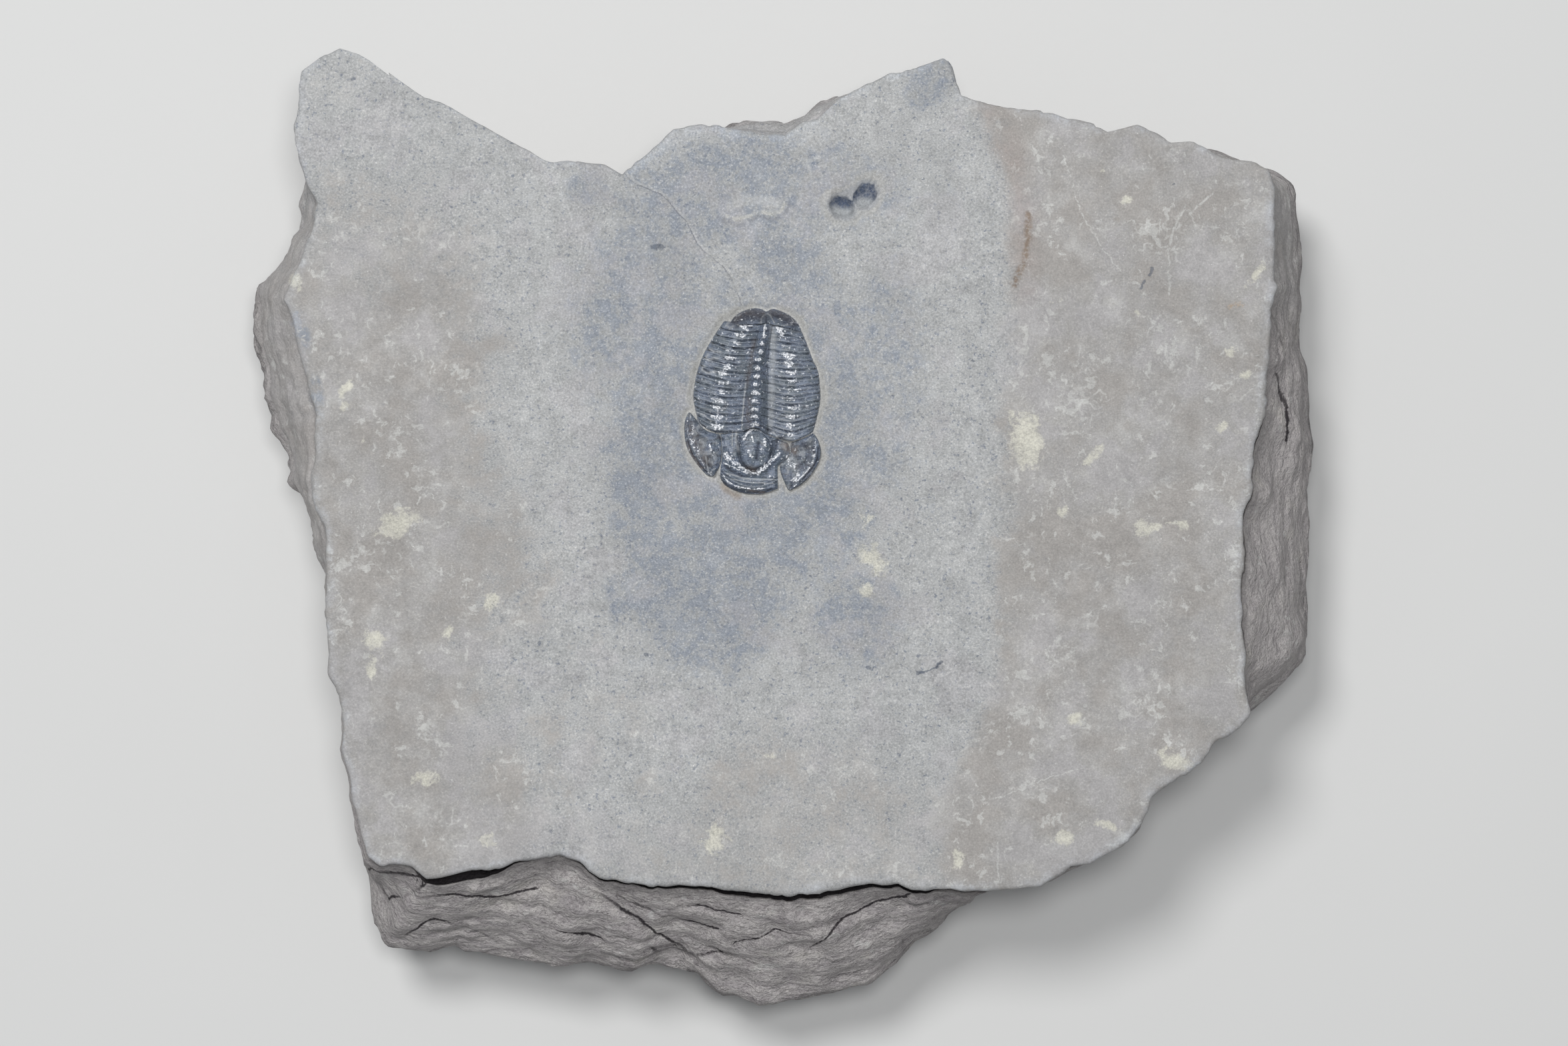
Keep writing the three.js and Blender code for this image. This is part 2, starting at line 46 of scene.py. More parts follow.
# Outlines were read from a straight-down photograph, so they are in photograph pixels. The view's
# centre is also known in millimetres, and its height is that above the bedding face.
MM_PER_PX = 0.08
IMAGE_WIDTH_PX = 2351
VIEW_CENTRE_PX = (1175.5, 784)
VIEW_CENTRE = (-0.31, 0.61)
VIEW_HEIGHT = 522
SENSOR_WIDTH = 36

# Depths are below the bedding face. The slab is widest at one of them.
SLAB_HEIGHT = 26
WIDEST_DEPTH = 13.5
SLAB_MIDDLE_PX = (1131, 600)


def pairs(*numbers):
    """Points from a plain run of numbers: x, y, x, y and so on."""
    return np.reshape(np.array(numbers, float), (-1, 2))


def lines_of(rows, settings=1):
    """Rows of settings and a line. The numbers after the settings are the line's points."""
    return [(*row[:settings], pairs(*row[settings:])) for row in rows]


PLATE_OUTLINE_PX = pairs(
    510, 71, 542, 81, 571, 100, 599, 125, 631, 143, 663, 153, 719, 185, 768, 212, 819, 239,
    861, 239, 904, 244, 933, 260, 952, 243, 969, 227, 991, 209, 1008, 190, 1037, 187, 1069, 187,
    1128, 196, 1177, 200, 1200, 183, 1226, 174, 1255, 147, 1282, 132, 1333, 111, 1373, 99,
    1412, 87, 1422, 90, 1436, 121, 1444, 138, 1481, 152, 1552, 163, 1603, 175, 1639, 184,
    1664, 195, 1705, 186, 1741, 200, 1759, 211, 1792, 209, 1833, 233, 1889, 245, 1907, 254,
    1914, 290, 1913, 346, 1913, 419, 1919, 427, 1908, 462, 1909, 498, 1901, 565, 1898, 624,
    1883, 664, 1880, 716, 1879, 746, 1869, 766, 1869, 825, 1863, 882, 1863, 915, 1870, 981,
    1868, 1031, 1876, 1061, 1878, 1074, 1858, 1096, 1822, 1115, 1816, 1131, 1783, 1161, 1744, 1183,
    1728, 1198, 1720, 1220, 1694, 1263, 1654, 1287, 1635, 1297, 1606, 1302, 1563, 1332, 1522, 1336,
    1461, 1337, 1399, 1336, 1367, 1336, 1345, 1327, 1301, 1327, 1266, 1333, 1202, 1341, 1178, 1344,
    1115, 1337, 1066, 1334, 1020, 1330, 971, 1331, 921, 1322, 896, 1318, 871, 1296, 836, 1282,
    804, 1290, 769, 1294, 751, 1302, 704, 1307, 657, 1318, 637, 1318, 613, 1300, 584, 1297,
    569, 1303, 549, 1286, 538, 1251, 530, 1208, 520, 1162, 510, 1128, 512, 1082, 509, 1050,
    490, 1012, 489, 959, 485, 929, 487, 900, 485, 847, 485, 791, 465, 748, 464, 724, 472, 657,
    471, 625, 455, 554, 443, 522, 429, 459, 421, 447, 433, 423, 446, 392, 465, 338, 475, 305,
    460, 281, 450, 248, 438, 213, 438, 195, 446, 160, 444, 124, 450, 102, 478, 81,
)
BODY_OUTLINE_PX = pairs(
    470, 120, 520, 105, 600, 160, 680, 190, 770, 235, 860, 262, 925, 290, 1010, 215, 1069, 205,
    1115, 186, 1138, 183, 1183, 182, 1206, 174, 1229, 153, 1255, 146, 1290, 150, 1350, 125,
    1405, 115, 1425, 160, 1500, 178, 1600, 195, 1665, 215, 1700, 210, 1760, 232, 1800, 232,
    1890, 262, 1924, 279, 1932, 300, 1943, 352, 1946, 419, 1947, 498, 1957, 588, 1955, 614,
    1961, 661, 1961, 759, 1963, 832, 1960, 898, 1961, 952, 1951, 995, 1923, 1018, 1893, 1038,
    1876, 1051, 1850, 1075, 1800, 1110, 1775, 1140, 1715, 1180, 1690, 1235, 1650, 1265, 1560, 1305,
    1500, 1312, 1459, 1338, 1455, 1350, 1432, 1364, 1406, 1394, 1371, 1413, 1350, 1441, 1311, 1466,
    1259, 1480, 1213, 1489, 1136, 1496, 1083, 1485, 1041, 1450, 1020, 1440, 988, 1436, 951, 1447,
    918, 1436, 880, 1435, 842, 1443, 763, 1428, 704, 1417, 687, 1410, 651, 1418, 588, 1405,
    572, 1372, 567, 1334, 552, 1296, 545, 1240, 535, 1180, 528, 1110, 512, 1040, 505, 990,
    500, 920, 497, 860, 477, 835, 469, 807, 467, 775, 455, 748, 441, 724, 433, 684, 429, 659,
    415, 641, 409, 617, 402, 593, 404, 566, 400, 538, 389, 479, 392, 455, 395, 445, 408, 417,
    423, 389, 435, 359, 448, 343, 456, 310, 462, 287, 468, 250, 455, 200, 465, 140,
)
POCKET_OUTLINE_PX = pairs(
    1149, 455, 1175, 458, 1195, 470, 1208, 486, 1219, 505, 1227, 530, 1234, 556, 1237, 585,
    1236, 615, 1231, 640, 1234, 665, 1235, 690, 1229, 710, 1215, 724, 1198, 737, 1180, 743,
    1160, 741, 1143, 747, 1120, 746, 1098, 740, 1080, 727, 1068, 724, 1054, 715, 1040, 698,
    1029, 680, 1021, 660, 1019, 640, 1022, 622, 1031, 610, 1032, 585, 1038, 556, 1048, 528,
    1062, 505, 1076, 485, 1090, 470, 1110, 459, 1130, 455,
)

THORAX_GUIDES_PX = [
    pairs(1086, 481, 1071, 503, 1056, 529, 1047, 552, 1042, 574, 1040, 600, 1048, 635),
    pairs(1118, 486, 1104, 523, 1092, 543, 1086, 565, 1084, 591, 1078, 615, 1074, 648),
    pairs(1141, 486, 1134, 505, 1127, 532, 1123, 545, 1119, 576, 1116, 599, 1112, 647),
    pairs(1149, 485, 1145, 505, 1140, 532, 1136, 555, 1134, 576, 1133, 599, 1131, 641),
    pairs(1159, 488, 1156, 505, 1153, 532, 1152, 545, 1152, 576, 1151, 599, 1152, 651),
    pairs(1172, 490, 1179, 511, 1181, 532, 1184, 554, 1188, 577, 1189, 610, 1186, 661),
    pairs(1202, 497, 1210, 516, 1218, 538, 1226, 556, 1229, 578, 1229, 605, 1219, 648),
]
AXIS_LINE = 3
LAST_GUIDE = 6
AXIS_STRETCH = 0.03
SEGMENT_COUNT = 13
SEGMENT_GAP = 0.014

PYGIDIUM_PX = {
    "rear": pairs(
        1095, 484, 1101, 475, 1110, 468.5, 1121, 464, 1132, 462, 1142, 463.5, 1149, 467, 1159, 463,
        1172, 467, 1184, 473, 1195, 483, 1201, 495,
    ),
    "front": pairs(
        1096, 485, 1118, 486, 1141, 485.5, 1149, 484.5, 1159, 487, 1172, 489.5, 1200, 496.5,
    ),
}
CRANIDIUM_PX = {
    "rear": pairs(
        1081, 650.5, 1100, 649, 1109, 648, 1118, 645.5, 1131, 643, 1143, 645.5, 1152, 652.5,
        1161, 656, 1172, 660, 1181, 664,
    ),
    "front": pairs(
        1080, 716, 1086, 725.5, 1097, 732.5, 1110, 737.5, 1124, 740, 1140, 740, 1153, 737,
        1166, 732,
    ),
    "left": pairs(1081, 650.5, 1082.5, 664, 1083, 680, 1082, 693, 1080.5, 704, 1080, 716),
    "right": pairs(1181, 664, 1184, 674, 1181, 685, 1172, 692.5, 1166, 700, 1166, 716, 1166, 732),
}
LEFT_CHEEK_PX = {
    "rear": pairs(
        1032.5, 618, 1027, 632, 1026.5, 650, 1029, 667, 1036, 682, 1045, 695, 1055, 707, 1062, 713,
        1069, 714,
    ),
    "front": pairs(
        1035.5, 619, 1044.5, 630, 1051.5, 639.5, 1061, 646.5, 1072, 650, 1079.5, 653, 1081.5, 668,
        1081.5, 684, 1079, 698, 1072, 711,
    ),
}
RIGHT_CHEEK_PX = {
    "rear": pairs(
        1219, 649, 1226, 659, 1230, 673, 1229, 687, 1223, 701, 1213, 715, 1200, 727, 1190, 732.5,
        1184, 735,
    ),
    "front": pairs(
        1217.5, 650.5, 1211, 654.5, 1200, 659, 1190, 662.5, 1185.5, 666, 1186, 677, 1182, 687,
        1170.5, 696, 1171, 709, 1176, 722, 1181, 733,
    ),
}

# Marks on the bedding face.
CRACK_PX = pairs(
    926, 252, 934, 261, 953, 273, 972, 283, 989, 290, 1000, 300, 1013, 313, 1027, 331, 1035, 343,
    1045, 362, 1054, 374, 1068, 385, 1082, 397, 1093, 411, 1101, 428, 1108, 444, 1112, 456,
)
ARC_RIDGE_PX = pairs(
    1084, 324, 1104, 330, 1121, 326, 1136, 318, 1146, 320, 1157, 322, 1171, 318, 1177, 307,
)
PIT_BASIN_PX = pairs(1263, 305, 1294, 289)

# Each oval pit's middle in pixels, its width and height in millimetres, and its turn.
OVAL_PITS = [
    (1263, 310, 3.3, 2.5, -0.3),
    (1297, 292, 2.6, 3.3, -0.5),
]


def smoothstep(value, low, high):
    share = np.clip((value - low) / (high - low), 0, 1)
    return share * share * (3 - 2 * share)


def lerp(a, b, share):
    return a + (b - a) * share


def bump(value, middle, width):
    return np.exp(-(((value - middle) / width) ** 2))


def cross(a, b):
    return a[..., 0] * b[..., 1] - a[..., 1] * b[..., 0]


def at_level(x, y, level=0):
    """Places that share one level, as noise takes them."""
    return np.stack([x, y, np.full_like(x, level)], -1)


def place_of(points_px, depth=0):
    """Photograph pixels as places in millimetres, at a depth below the bedding face."""
    spread = MM_PER_PX * (1 + np.asarray(depth) / VIEW_HEIGHT)
    offset = np.asarray(points_px, float) - VIEW_CENTRE_PX
    x = VIEW_CENTRE[0] + offset[..., 0] * spread
    y = VIEW_CENTRE[1] - offset[..., 1] * spread
    return np.stack([x, y], -1)


def pixel_of(x, y, depth=0):
    spread = MM_PER_PX * (1 + depth / VIEW_HEIGHT)
    across = VIEW_CENTRE_PX[0] + (x - VIEW_CENTRE[0]) / spread
    down = VIEW_CENTRE_PX[1] - (y - VIEW_CENTRE[1]) / spread
    return across, down


def lattice(cells, seed):
    """A random number from -1 to 1 for each whole-numbered cell."""
    keys = cells.astype(np.uint64)
    mixed = keys[..., 0] * np.uint64(374761393) + keys[..., 1] * np.uint64(668265263)
    mixed = mixed + keys[..., 2] * np.uint64(2147483647) + np.uint64(seed * 97531)
    mixed = (mixed ^ (mixed >> np.uint64(13))) * np.uint64(1274126177)
    mixed = mixed ^ (mixed >> np.uint64(16))
    return (mixed & np.uint64(0xFFFF)).astype(float) / 32767.5 - 1


def noise(places, cell, seed, octaves=1):
    """Smooth noise from -1 to 1. cell is the size of its features, one number or one per axis.

    Each seed gives a field of its own.
    """
    total = 0
    weight = 1
    for octave in range(octaves):
        scaled = places / (np.asarray(cell) / 2**octave) + 13.7
        base = np.floor(scaled)
        part = scaled - base
        part = part * part * (3 - 2 * part)
        value = 0
        for corner in itertools.product((0, 1), repeat=3):
            share = np.prod(np.where(corner, part, 1 - part), axis=-1)
            value = value + share * lattice(base.astype(np.int64) + corner, seed + octave)
        total = total + weight * value
        weight *= 0.5
    return total


def distance_to(x, y, line):
    """The distance to a line of points, and on which side of it a place is."""
    best = np.full(np.shape(x), 1e9)
    side = np.zeros(np.shape(x))
    for a, b in zip(line[:-1], line[1:]):
        along = b - a
        length = max(along @ along, 1e-12)
        share = ((x - a[0]) * along[0] + (y - a[1]) * along[1]) / length
        share = np.clip(share, 0, 1)
        away = np.hypot(x - a[0] - share * along[0], y - a[1] - share * along[1])
        turn = along[0] * (y - a[1]) - along[1] * (x - a[0])
        closer = away < best
        best = np.where(closer, away, best)
        side = np.where(closer, np.sign(turn), side)
    return best, side


def signed_distance(x, y, outline):
    """The distance to a closed outline, below zero inside it."""
    closed = np.vstack([outline, outline[:1]])
    away, _ = distance_to(x, y, closed)
    inside = np.zeros(np.shape(x), bool)
    for a, b in zip(closed[:-1], closed[1:]):
        if a[1] != b[1]:
            crosses = (a[1] > y) != (b[1] > y)
            inside ^= crosses & (x < a[0] + (y - a[1]) * (b[0] - a[0]) / (b[1] - a[1]))
    return np.where(inside, -away, away)


def line_bump(x, y, line_px, width):
    """One on a line of photograph pixels, falling to nothing a width away."""
    away, _ = distance_to(x, y, place_of(line_px))
    return bump(away, 0, width)


def catmull_rom(part, before, start, end, after):
    """A smooth curve's point between start and end."""
    part = np.asarray(part)[..., None]
    leave, arrive = (end - before) / 2, (after - start) / 2
    cubic = (2 * start - 2 * end + leave + arrive) * part**3
    square = (-3 * start + 3 * end - 2 * leave - arrive) * part**2
    return cubic + square + leave * part + start


def curve_through(points_px):
    """A curve through photograph pixels: a function of the share of its length."""
    points = place_of(points_px)
    ends = np.vstack([points[:1], points, points[-1:]])
    steps = np.linspace(0, 1, 24, endpoint=False)
    pieces = [catmull_rom(steps, *ends[i : i + 4]) for i in range(len(points) - 1)]
    dense = np.vstack(pieces + [points[-1:]])
    length = np.concatenate([[0], np.cumsum(np.hypot(*np.diff(dense, axis=0).T))])
    length /= length[-1]
    return lambda share: np.stack(
        [np.interp(share, length, dense[:, 0]), np.interp(share, length, dense[:, 1])], -1
    )


def linked(name, data):
    """A new object in the scene."""
    item = bpy.data.objects.new(name, data)
    bpy.context.scene.collection.objects.link(item)
    return item


def new_piece(name, vertices, faces, node_names, material, attributes):
    """One visible piece from vertices in millimetres. It stands for the CAD nodes it names."""
    mesh = bpy.data.meshes.new(name)
    mesh.from_pydata((vertices * MM).tolist(), [], faces)
    mesh.polygons.foreach_set("use_smooth", np.ones(len(mesh.polygons), bool))
    for key, values in attributes.items():
        attribute = mesh.attributes.new(key, "FLOAT", "POINT")
        attribute.data.foreach_set("value", np.asarray(values, np.float32))
    mesh.materials.append(material)
    mesh.validate()
    mesh.update()
    piece = linked(name, mesh)
    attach(piece, "root")
    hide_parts(*node_names)
    return piece


# The slab.

SLAB_MIDDLE = place_of(SLAB_MIDDLE_PX)


def polar_outline(outline_px, depth=0):
    offset = place_of(outline_px, depth) - SLAB_MIDDLE
    angle = np.arctan2(offset[:, 1], offset[:, 0]) % TAU
    order = np.argsort(angle)
    return angle[order], offset[order]


def rays(angles):
    return np.stack([np.cos(angles), np.sin(angles)], -1)


def reach_at(outline, angles):
    """How far an outline is from the slab's middle, by angle."""
    corner_angles, corners = outline
    after = np.searchsorted(corner_angles, angles, side="right")
    p = corners[after - 1]
    side = corners[after % len(corners)] - p
    return cross(p, side) / cross(rays(angles), side)


PLATE = polar_outline(PLATE_OUTLINE_PX)
BODY = polar_outline(BODY_OUTLINE_PX, WIDEST_DEPTH)
POCKET = polar_outline(POCKET_OUTLINE_PX)

# The face's mesh: rings of even angles round the fossil, then rings that follow the plate's edge.
INNER_REACH = 18
INNER_ANGLES = 360
INNER_ROWS = 64
FOSSIL_REACH = 12.4
FOSSIL_ROWS = 56
RIM_ANGLES = 820
OUTER_ROWS = 32
EDGE_INSET = 0.75

# Where the rings are closer together, as angles and reaches from the slab's middle.
PITS_ANGLE, PITS_REACH = np.radians(63.6), 25.6
ARC_ANGLE, ARC_REACH = np.radians(90), 23
NOTCH_ANGLE = np.radians(108)


def rim_angles():
    """Angles round the slab, closer together where its edge or its marks need it."""
    fine = np.linspace(0, TAU, 7200, endpoint=False)
    edge = reach_at(PLATE, fine)[:, None] * rays(fine)
    step = np.hypot(*(np.roll(edge, -1, axis=0) - edge).T)
    density = 0.9 + np.minimum(step / step.mean(), 3)
    density += 1.6 * bump(fine, PITS_ANGLE, 0.1) + 0.9 * bump(fine, NOTCH_ANGLE, 0.2)
    total = np.cumsum(density)
    shares = (np.arange(RIM_ANGLES) + 0.5) / RIM_ANGLES
    return np.interp(shares, total / total[-1], fine)


def outer_reaches(angles, edge):
    """The rows of the face outside the inner zone, closer together at the pits and the arcs."""
    shares = np.linspace(0, 1, 400)
    rows = np.empty((OUTER_ROWS, len(angles)))
    for i, (angle, last) in enumerate(zip(angles, edge)):
        reach = lerp(INNER_REACH + 0.3, last, shares)
        density = 1 + 7 * bump(reach, PITS_REACH, 2) * bump(angle, PITS_ANGLE, 0.11)
        density += 4 * bump(reach, ARC_REACH, 1.3) * bump(angle, ARC_ANGLE, 0.2)
        density += 0.8 * bump(reach, last, 2.5)
        total = np.cumsum(density) - density[0]
        rows[:, i] = np.interp(np.linspace(0, 1, OUTER_ROWS), total / total[-1], reach)
    return rows


def closed_outline(edges_px):
    """The outline of a patch, from the tail side round."""
    shares = np.linspace(0, 1, 40)
    edges = {name: curve_through(line)(shares) for name, line in edges_px.items()}
    rear, front = edges["rear"], edges["front"]
    right, left = edges.get("right", rear[-1:]), edges.get("left", rear[:1])
    return np.vstack([rear, right[1:], front[::-1], left[::-1][1:]])


GUIDES = [curve_through(line) for line in THORAX_GUIDES_PX]


def thorax_outline():
    guides = [guide(np.linspace(0, 1, 50)) for guide in GUIDES]
    front = np.array([guide[-1] for guide in guides[1:-1]])
    rear = np.array([guide[0] for guide in guides[-2:0:-1]])
    return np.vstack([guides[0], front, guides[-1][::-1], rear])


def face_height(x, y):
    """The low swells of the bedding face, which die out towards the fossil."""
    away = np.hypot(x - SLAB_MIDDLE[0], y - SLAB_MIDDLE[1])
    swell = 0.65 * np.sin(x / 19 + 0.6) * np.cos(y / 23 - 0.4)
    ripple = 0.35 * np.sin(x / 9 - y / 11)
    return 0.3 * (swell + ripple) * smoothstep(away, 12, 30)


# Where the face's weathered right and lower parts begin.
RIGHT_BOUNDARY_PX = pairs(
    1445, 152, 1475, 203, 1506, 254, 1526, 315, 1516, 433, 1516, 509, 1506, 611, 1506, 800,
    1486, 930, 1480, 1031, 1430, 1159, 1400, 1250, 1390, 1340,
)
BOTTOM_BOUNDARY_PX = pairs(
    480, 1010, 700, 1180, 900, 1240, 1040, 1170, 1075, 1075, 1160, 1045, 1290, 1075, 1340, 1150,
    1450, 1180, 1900, 1180,
)

# Blue-grey spots: middle, half width, half height, turn and strength.
HALO_SPOTS = [
    (1148, 631, 241, 379, 0, 0.62),
    (1125, 298, 298, 126, 0.05, 0.62),
    (975, 440, 150, 190, -0.3, 0.62),
    (987, 656, 85, 235, -0.1, 0.88),
    (1056, 885, 148, 149, 0.3, 0.78),
    (1286, 918, 103, 103, 0, 0.6),
    (1332, 505, 69, 161, 0, 0.45),
    (1395, 125, 62, 50, 0.5, 0.6),
    (1170, 385, 110, 60, 0, 0.75),
    (880, 286, 46, 40, 0, 0.7),
    (449, 492, 17, 50, 0.25, 0.55),
    (473, 590, 14, 40, 0.1, 0.65),
]

# Cream spots: middle, width, height and turn.
CREAM_SPOTS = [
    (1539, 657, 46, 77, 0.1), (1884, 412, 44, 15, 0.9), (1639, 683, 52, 16, 0.8),
    (1843, 530, 26, 20, 0), (1690, 300, 20, 12, 0.3), (1657, 254, 14, 7, 0),
    (1593, 766, 26, 18, 0.5), (1718, 792, 44, 24, 0.1), (1771, 787, 26, 16, 0),
    (1756, 1139, 54, 32, -0.4), (1618, 950, 24, 14, 0.4), (1649, 1233, 20, 16, 0),
    (1669, 1241, 14, 12, 0), (1595, 1254, 36, 26, 0.2), (1437, 1287, 20, 28, 0),
    (1616, 1078, 34, 18, 0), (595, 785, 65, 34, 0.2), (562, 960, 34, 40, 0.4),
    (673, 947, 24, 18, 0), (640, 1168, 50, 22, 0.1), (734, 1259, 30, 24, 0),
    (1073, 1259, 46, 40, 0.5), (1157, 1133, 34, 16, 0), (441, 421, 22, 26, 0.5),
    (518, 607, 16, 25, -0.6), (544, 661, 10, 11, 0), (737, 900, 30, 28, 0.3),
    (1310, 840, 36, 50, 0.6), (1300, 880, 30, 24, 0), (1300, 780, 22, 30, 0),
    (520, 580, 34, 14, 0.9), (1800, 1180, 20, 16, 0), (560, 1005, 22, 30, 0),
    (1700, 470, 18, 14, 0), (1580, 450, 20, 26, 0.3), (1870, 560, 18, 14, 0),
    (1830, 640, 22, 18, 0.6),
]
SMALL_SPOT_PX = 60

# The shale's attributes where no mark is near. Crack, moat and cleft are distances.
FAR = 9
NO_PIT = -3
UNMARKED = {
    "warm": 0, "halo": 0, "cream": -1, "crack": FAR, "pit": NO_PIT, "sunny": 0, "arc": 0,
    "moat": 40, "crevice": 0, "cleft": FAR,
}


def zones_from(x, **marked):
    """All attributes of the shale's marks, from those that a part of the slab has."""
    return {
        name: marked.get(name, np.full_like(x, unmarked)) for name, unmarked in UNMARKED.items()
    }


def spot_field(across, down, middle_across, middle_down, half_width, half_height, turn):
    """How far inside an oval a pixel is: one at its middle and zero at its edge."""
    dx, dy = across - middle_across, down - middle_down
    along = (dx * np.cos(turn) - dy * np.sin(turn)) / half_width
    over = (dx * np.sin(turn) + dy * np.cos(turn)) / half_height
    return 1 - np.hypot(along, over)


def face_zones(x, y, depth=0):
    """The broad patches of colour on the bedding face, each from 0 to 1."""
    across, down = pixel_of(x, y, depth)
    flat = at_level(x, y)
    wander = 14 * noise(flat, 2.4, 3, 2) + 22 * noise(flat, 9, 5)
    right = np.interp(down, RIGHT_BOUNDARY_PX[:, 1], RIGHT_BOUNDARY_PX[:, 0])
    bottom = np.interp(across, *BOTTOM_BOUNDARY_PX.T)
    warm = smoothstep(across + wander - right, -45, 50)
    broader = 100 * smoothstep(down, 560, 760)
    left = 1 - smoothstep(across - broader + 3.5 * wander + 90 * noise(flat, 22, 6), 560, 860)
    warm = np.maximum(warm, left * lerp(0.25, 1, smoothstep(down, 200, 540)))
    warm = np.maximum(warm, 0.48 * smoothstep(down + 1.2 * wander - bottom, -80, 90))
    halo = np.zeros_like(x)
    for *spot, strength in HALO_SPOTS:
        field = spot_field(across, down, *spot) + 0.012 * wander
        halo = np.maximum(halo, strength * smoothstep(field, -0.15, 0.6))
    cream = np.full_like(x, UNMARKED["cream"])
    for *middle, width, height, turn in CREAM_SPOTS:
        field = spot_field(across, down, *middle, 0.7 * width, 0.7 * height, turn)
        cream = np.maximum(cream, field - 0.08 * (max(width, height) < SMALL_SPOT_PX))
    return {"warm": warm, "halo": halo, "cream": cream}


def pit_field(x, y):
    """How far inside an oval pit a place is, and the painted light and shade on its walls: lighter
    towards the lower side, darker towards the upper.
    """
    field = np.full_like(x, NO_PIT)
    sunny = np.zeros_like(x)
    for *middle_px, width, height, turn in OVAL_PITS:
        middle = place_of(middle_px)
        dx, dy = x - middle[0], y - middle[1]
        along = (dx * np.cos(turn) + dy * np.sin(turn)) / width
        over = (dy * np.cos(turn) - dx * np.sin(turn)) / height
        field = np.maximum(field, 1 - 2 * np.hypot(along, over))
        sunny += (-0.3 * dx - 0.95 * dy) * bump(np.hypot(dx, dy), 0, 1.7)
    return field + 0.17 * noise(at_level(x, y), 0.8, 17, 2), sunny


def piece_outlines():
    patches = (PYGIDIUM_PX, CRANIDIUM_PX, LEFT_CHEEK_PX, RIGHT_CHEEK_PX)
    return [thorax_outline()] + [closed_outline(patch) for patch in patches]


# The level of the rock under the fossil's pieces, and how far round them it is worked out.
HIDDEN_BED = -0.62
FOSSIL_ZONE_REACH = 16


def bed_round_fossil(x, y, angle, reach):
    """The rock's level round and between the fossil's pieces, and how far it is from them."""
    inside_pocket = reach_at(POCKET, angle) - reach
    near = reach < FOSSIL_ZONE_REACH
    away = np.full_like(x, FAR)
    for outline in piece_outlines():
        away[near] = np.minimum(away[near], signed_distance(x[near], y[near], outline))
    moat = -0.34 * (1 - smoothstep(away, 0.1, 0.8))
    fill = moat + 0.3 * smoothstep(inside_pocket, 0.9, 1.4)
    return lerp(fill, HIDDEN_BED, smoothstep(away, -0.1, -0.32)), away


def face_detail(x, y, angle, reach):
    """Heights on top of the swells, and the attributes that the shale's material reads."""
    flat = at_level(x, y)
    patches = face_zones(x, y)
    bed, away = bed_round_fossil(x, y, angle, reach)
    crack_away, crack_side = distance_to(x, y, place_of(CRACK_PX))
    crack = crack_away * crack_side + 0.14 * noise(flat, 1.4, 19, 2)
    basin_away, _ = distance_to(x, y, place_of(PIT_BASIN_PX))
    basin = smoothstep(basin_away, 1.75, 1.35)
    pit, sunny = pit_field(x, y)
    arc_away, arc_side = distance_to(x, y, place_of(ARC_RIDGE_PX))
    patchy = smoothstep(noise(flat, (0.9, 0.9, 1), 16, 2), -1.1, 0.2)
    arc = patchy * bump(arc_away, 0, 0.34)
    # Just below the ridge a shallow groove, which the material also paints as shadow.
    arc_groove_and_shadow = patchy * bump(arc_away * arc_side, -0.46, 0.28)
    quiet = smoothstep(away, 0.2, 2)
    height = quiet * (0.05 * noise(flat, 6, 11, 2) + 0.03 * noise(flat, 1.3, 12, 2))
    height += quiet * 0.09 * patches["warm"] * (0.6 + 0.4 * noise(flat, 3, 13))
    height += 0.06 * smoothstep(crack, -0.12, 0.12) * bump(crack, 0, 1.8)
    height -= 0.6 * (1 - (1 - np.clip(1.5 * pit, 0, 1)) ** 2) + 0.26 * basin
    height += 0.09 * bump(basin_away, 1.9, 0.3) + 0.13 * arc - 0.06 * arc_groove_and_shadow
    height += bed
    pit = np.maximum(pit, -0.1 - 0.9 * (1 - basin))
    marks = {"crack": crack, "pit": pit, "sunny": sunny, "arc": arc - arc_groove_and_shadow, "moat": away}
    return height, zones_from(x, **patches, **marks)


# Below the lip a parting runs round the slab, and under it the rock slopes out and down.
PARTING_DEPTH = 3.1
SLOPE_DEPTH = WIDEST_DEPTH - PARTING_DEPTH
# Each lip row's depth and inset, and each groove row's depth, inset and depth where it is shut.
LIP_ROWS = [(0.12, 0.35), (0.45, 0.12), (1.1, 0), (1.9, 0.1), (2.45, 0.4)]
GROOVE_ROWS = [(2.9, 1.7, 2.6), (4.9, 1.5, 2.75)]
SLOPE_ROWS = 30
WALL_ROWS = 16
# The thickness of the thin layers, and of the thicker ones lower down.
LAMINA = 1.5
BED = 3.4

# Clefts of the side faces, with their half widths in pixels. Each is cut into the rock and painted
# near-black as shade.
SIDE_CRACKS_PX = lines_of([
    (3, 554, 1302, 586, 1306, 626, 1313, 640, 1321),
    (3.5, 568, 1334, 585, 1347, 608, 1345, 632, 1330),
    (2.6, 632, 1345, 683, 1343, 740, 1345, 783, 1338, 803, 1334),
    (3, 883, 1336, 904, 1347, 943, 1372, 991, 1404, 1039, 1438),
    (2.2, 924, 1347, 969, 1364, 1015, 1382, 1077, 1396),
    (2, 972, 1423, 1048, 1433, 1096, 1438),
    (2, 812, 1380, 860, 1402, 905, 1408),
    (2.2, 600, 1404, 650, 1378, 700, 1392, 752, 1414),
    (2.4, 1202, 1438, 1240, 1402, 1269, 1376, 1320, 1356, 1365, 1343),
    (2.4, 1245, 1471, 1307, 1452, 1355, 1428, 1355, 1414),
    (2.2, 1077, 1476, 1116, 1488),
    (1.8, 1100, 1418, 1160, 1398, 1215, 1400),
    (1.8, 1000, 1364, 1050, 1356, 1110, 1372),
    (2.6, 1918, 560, 1931, 610, 1929, 660),
    (2.2, 1912, 470, 1922, 520),
    (2.6, 1899, 1062, 1925, 1040),
])


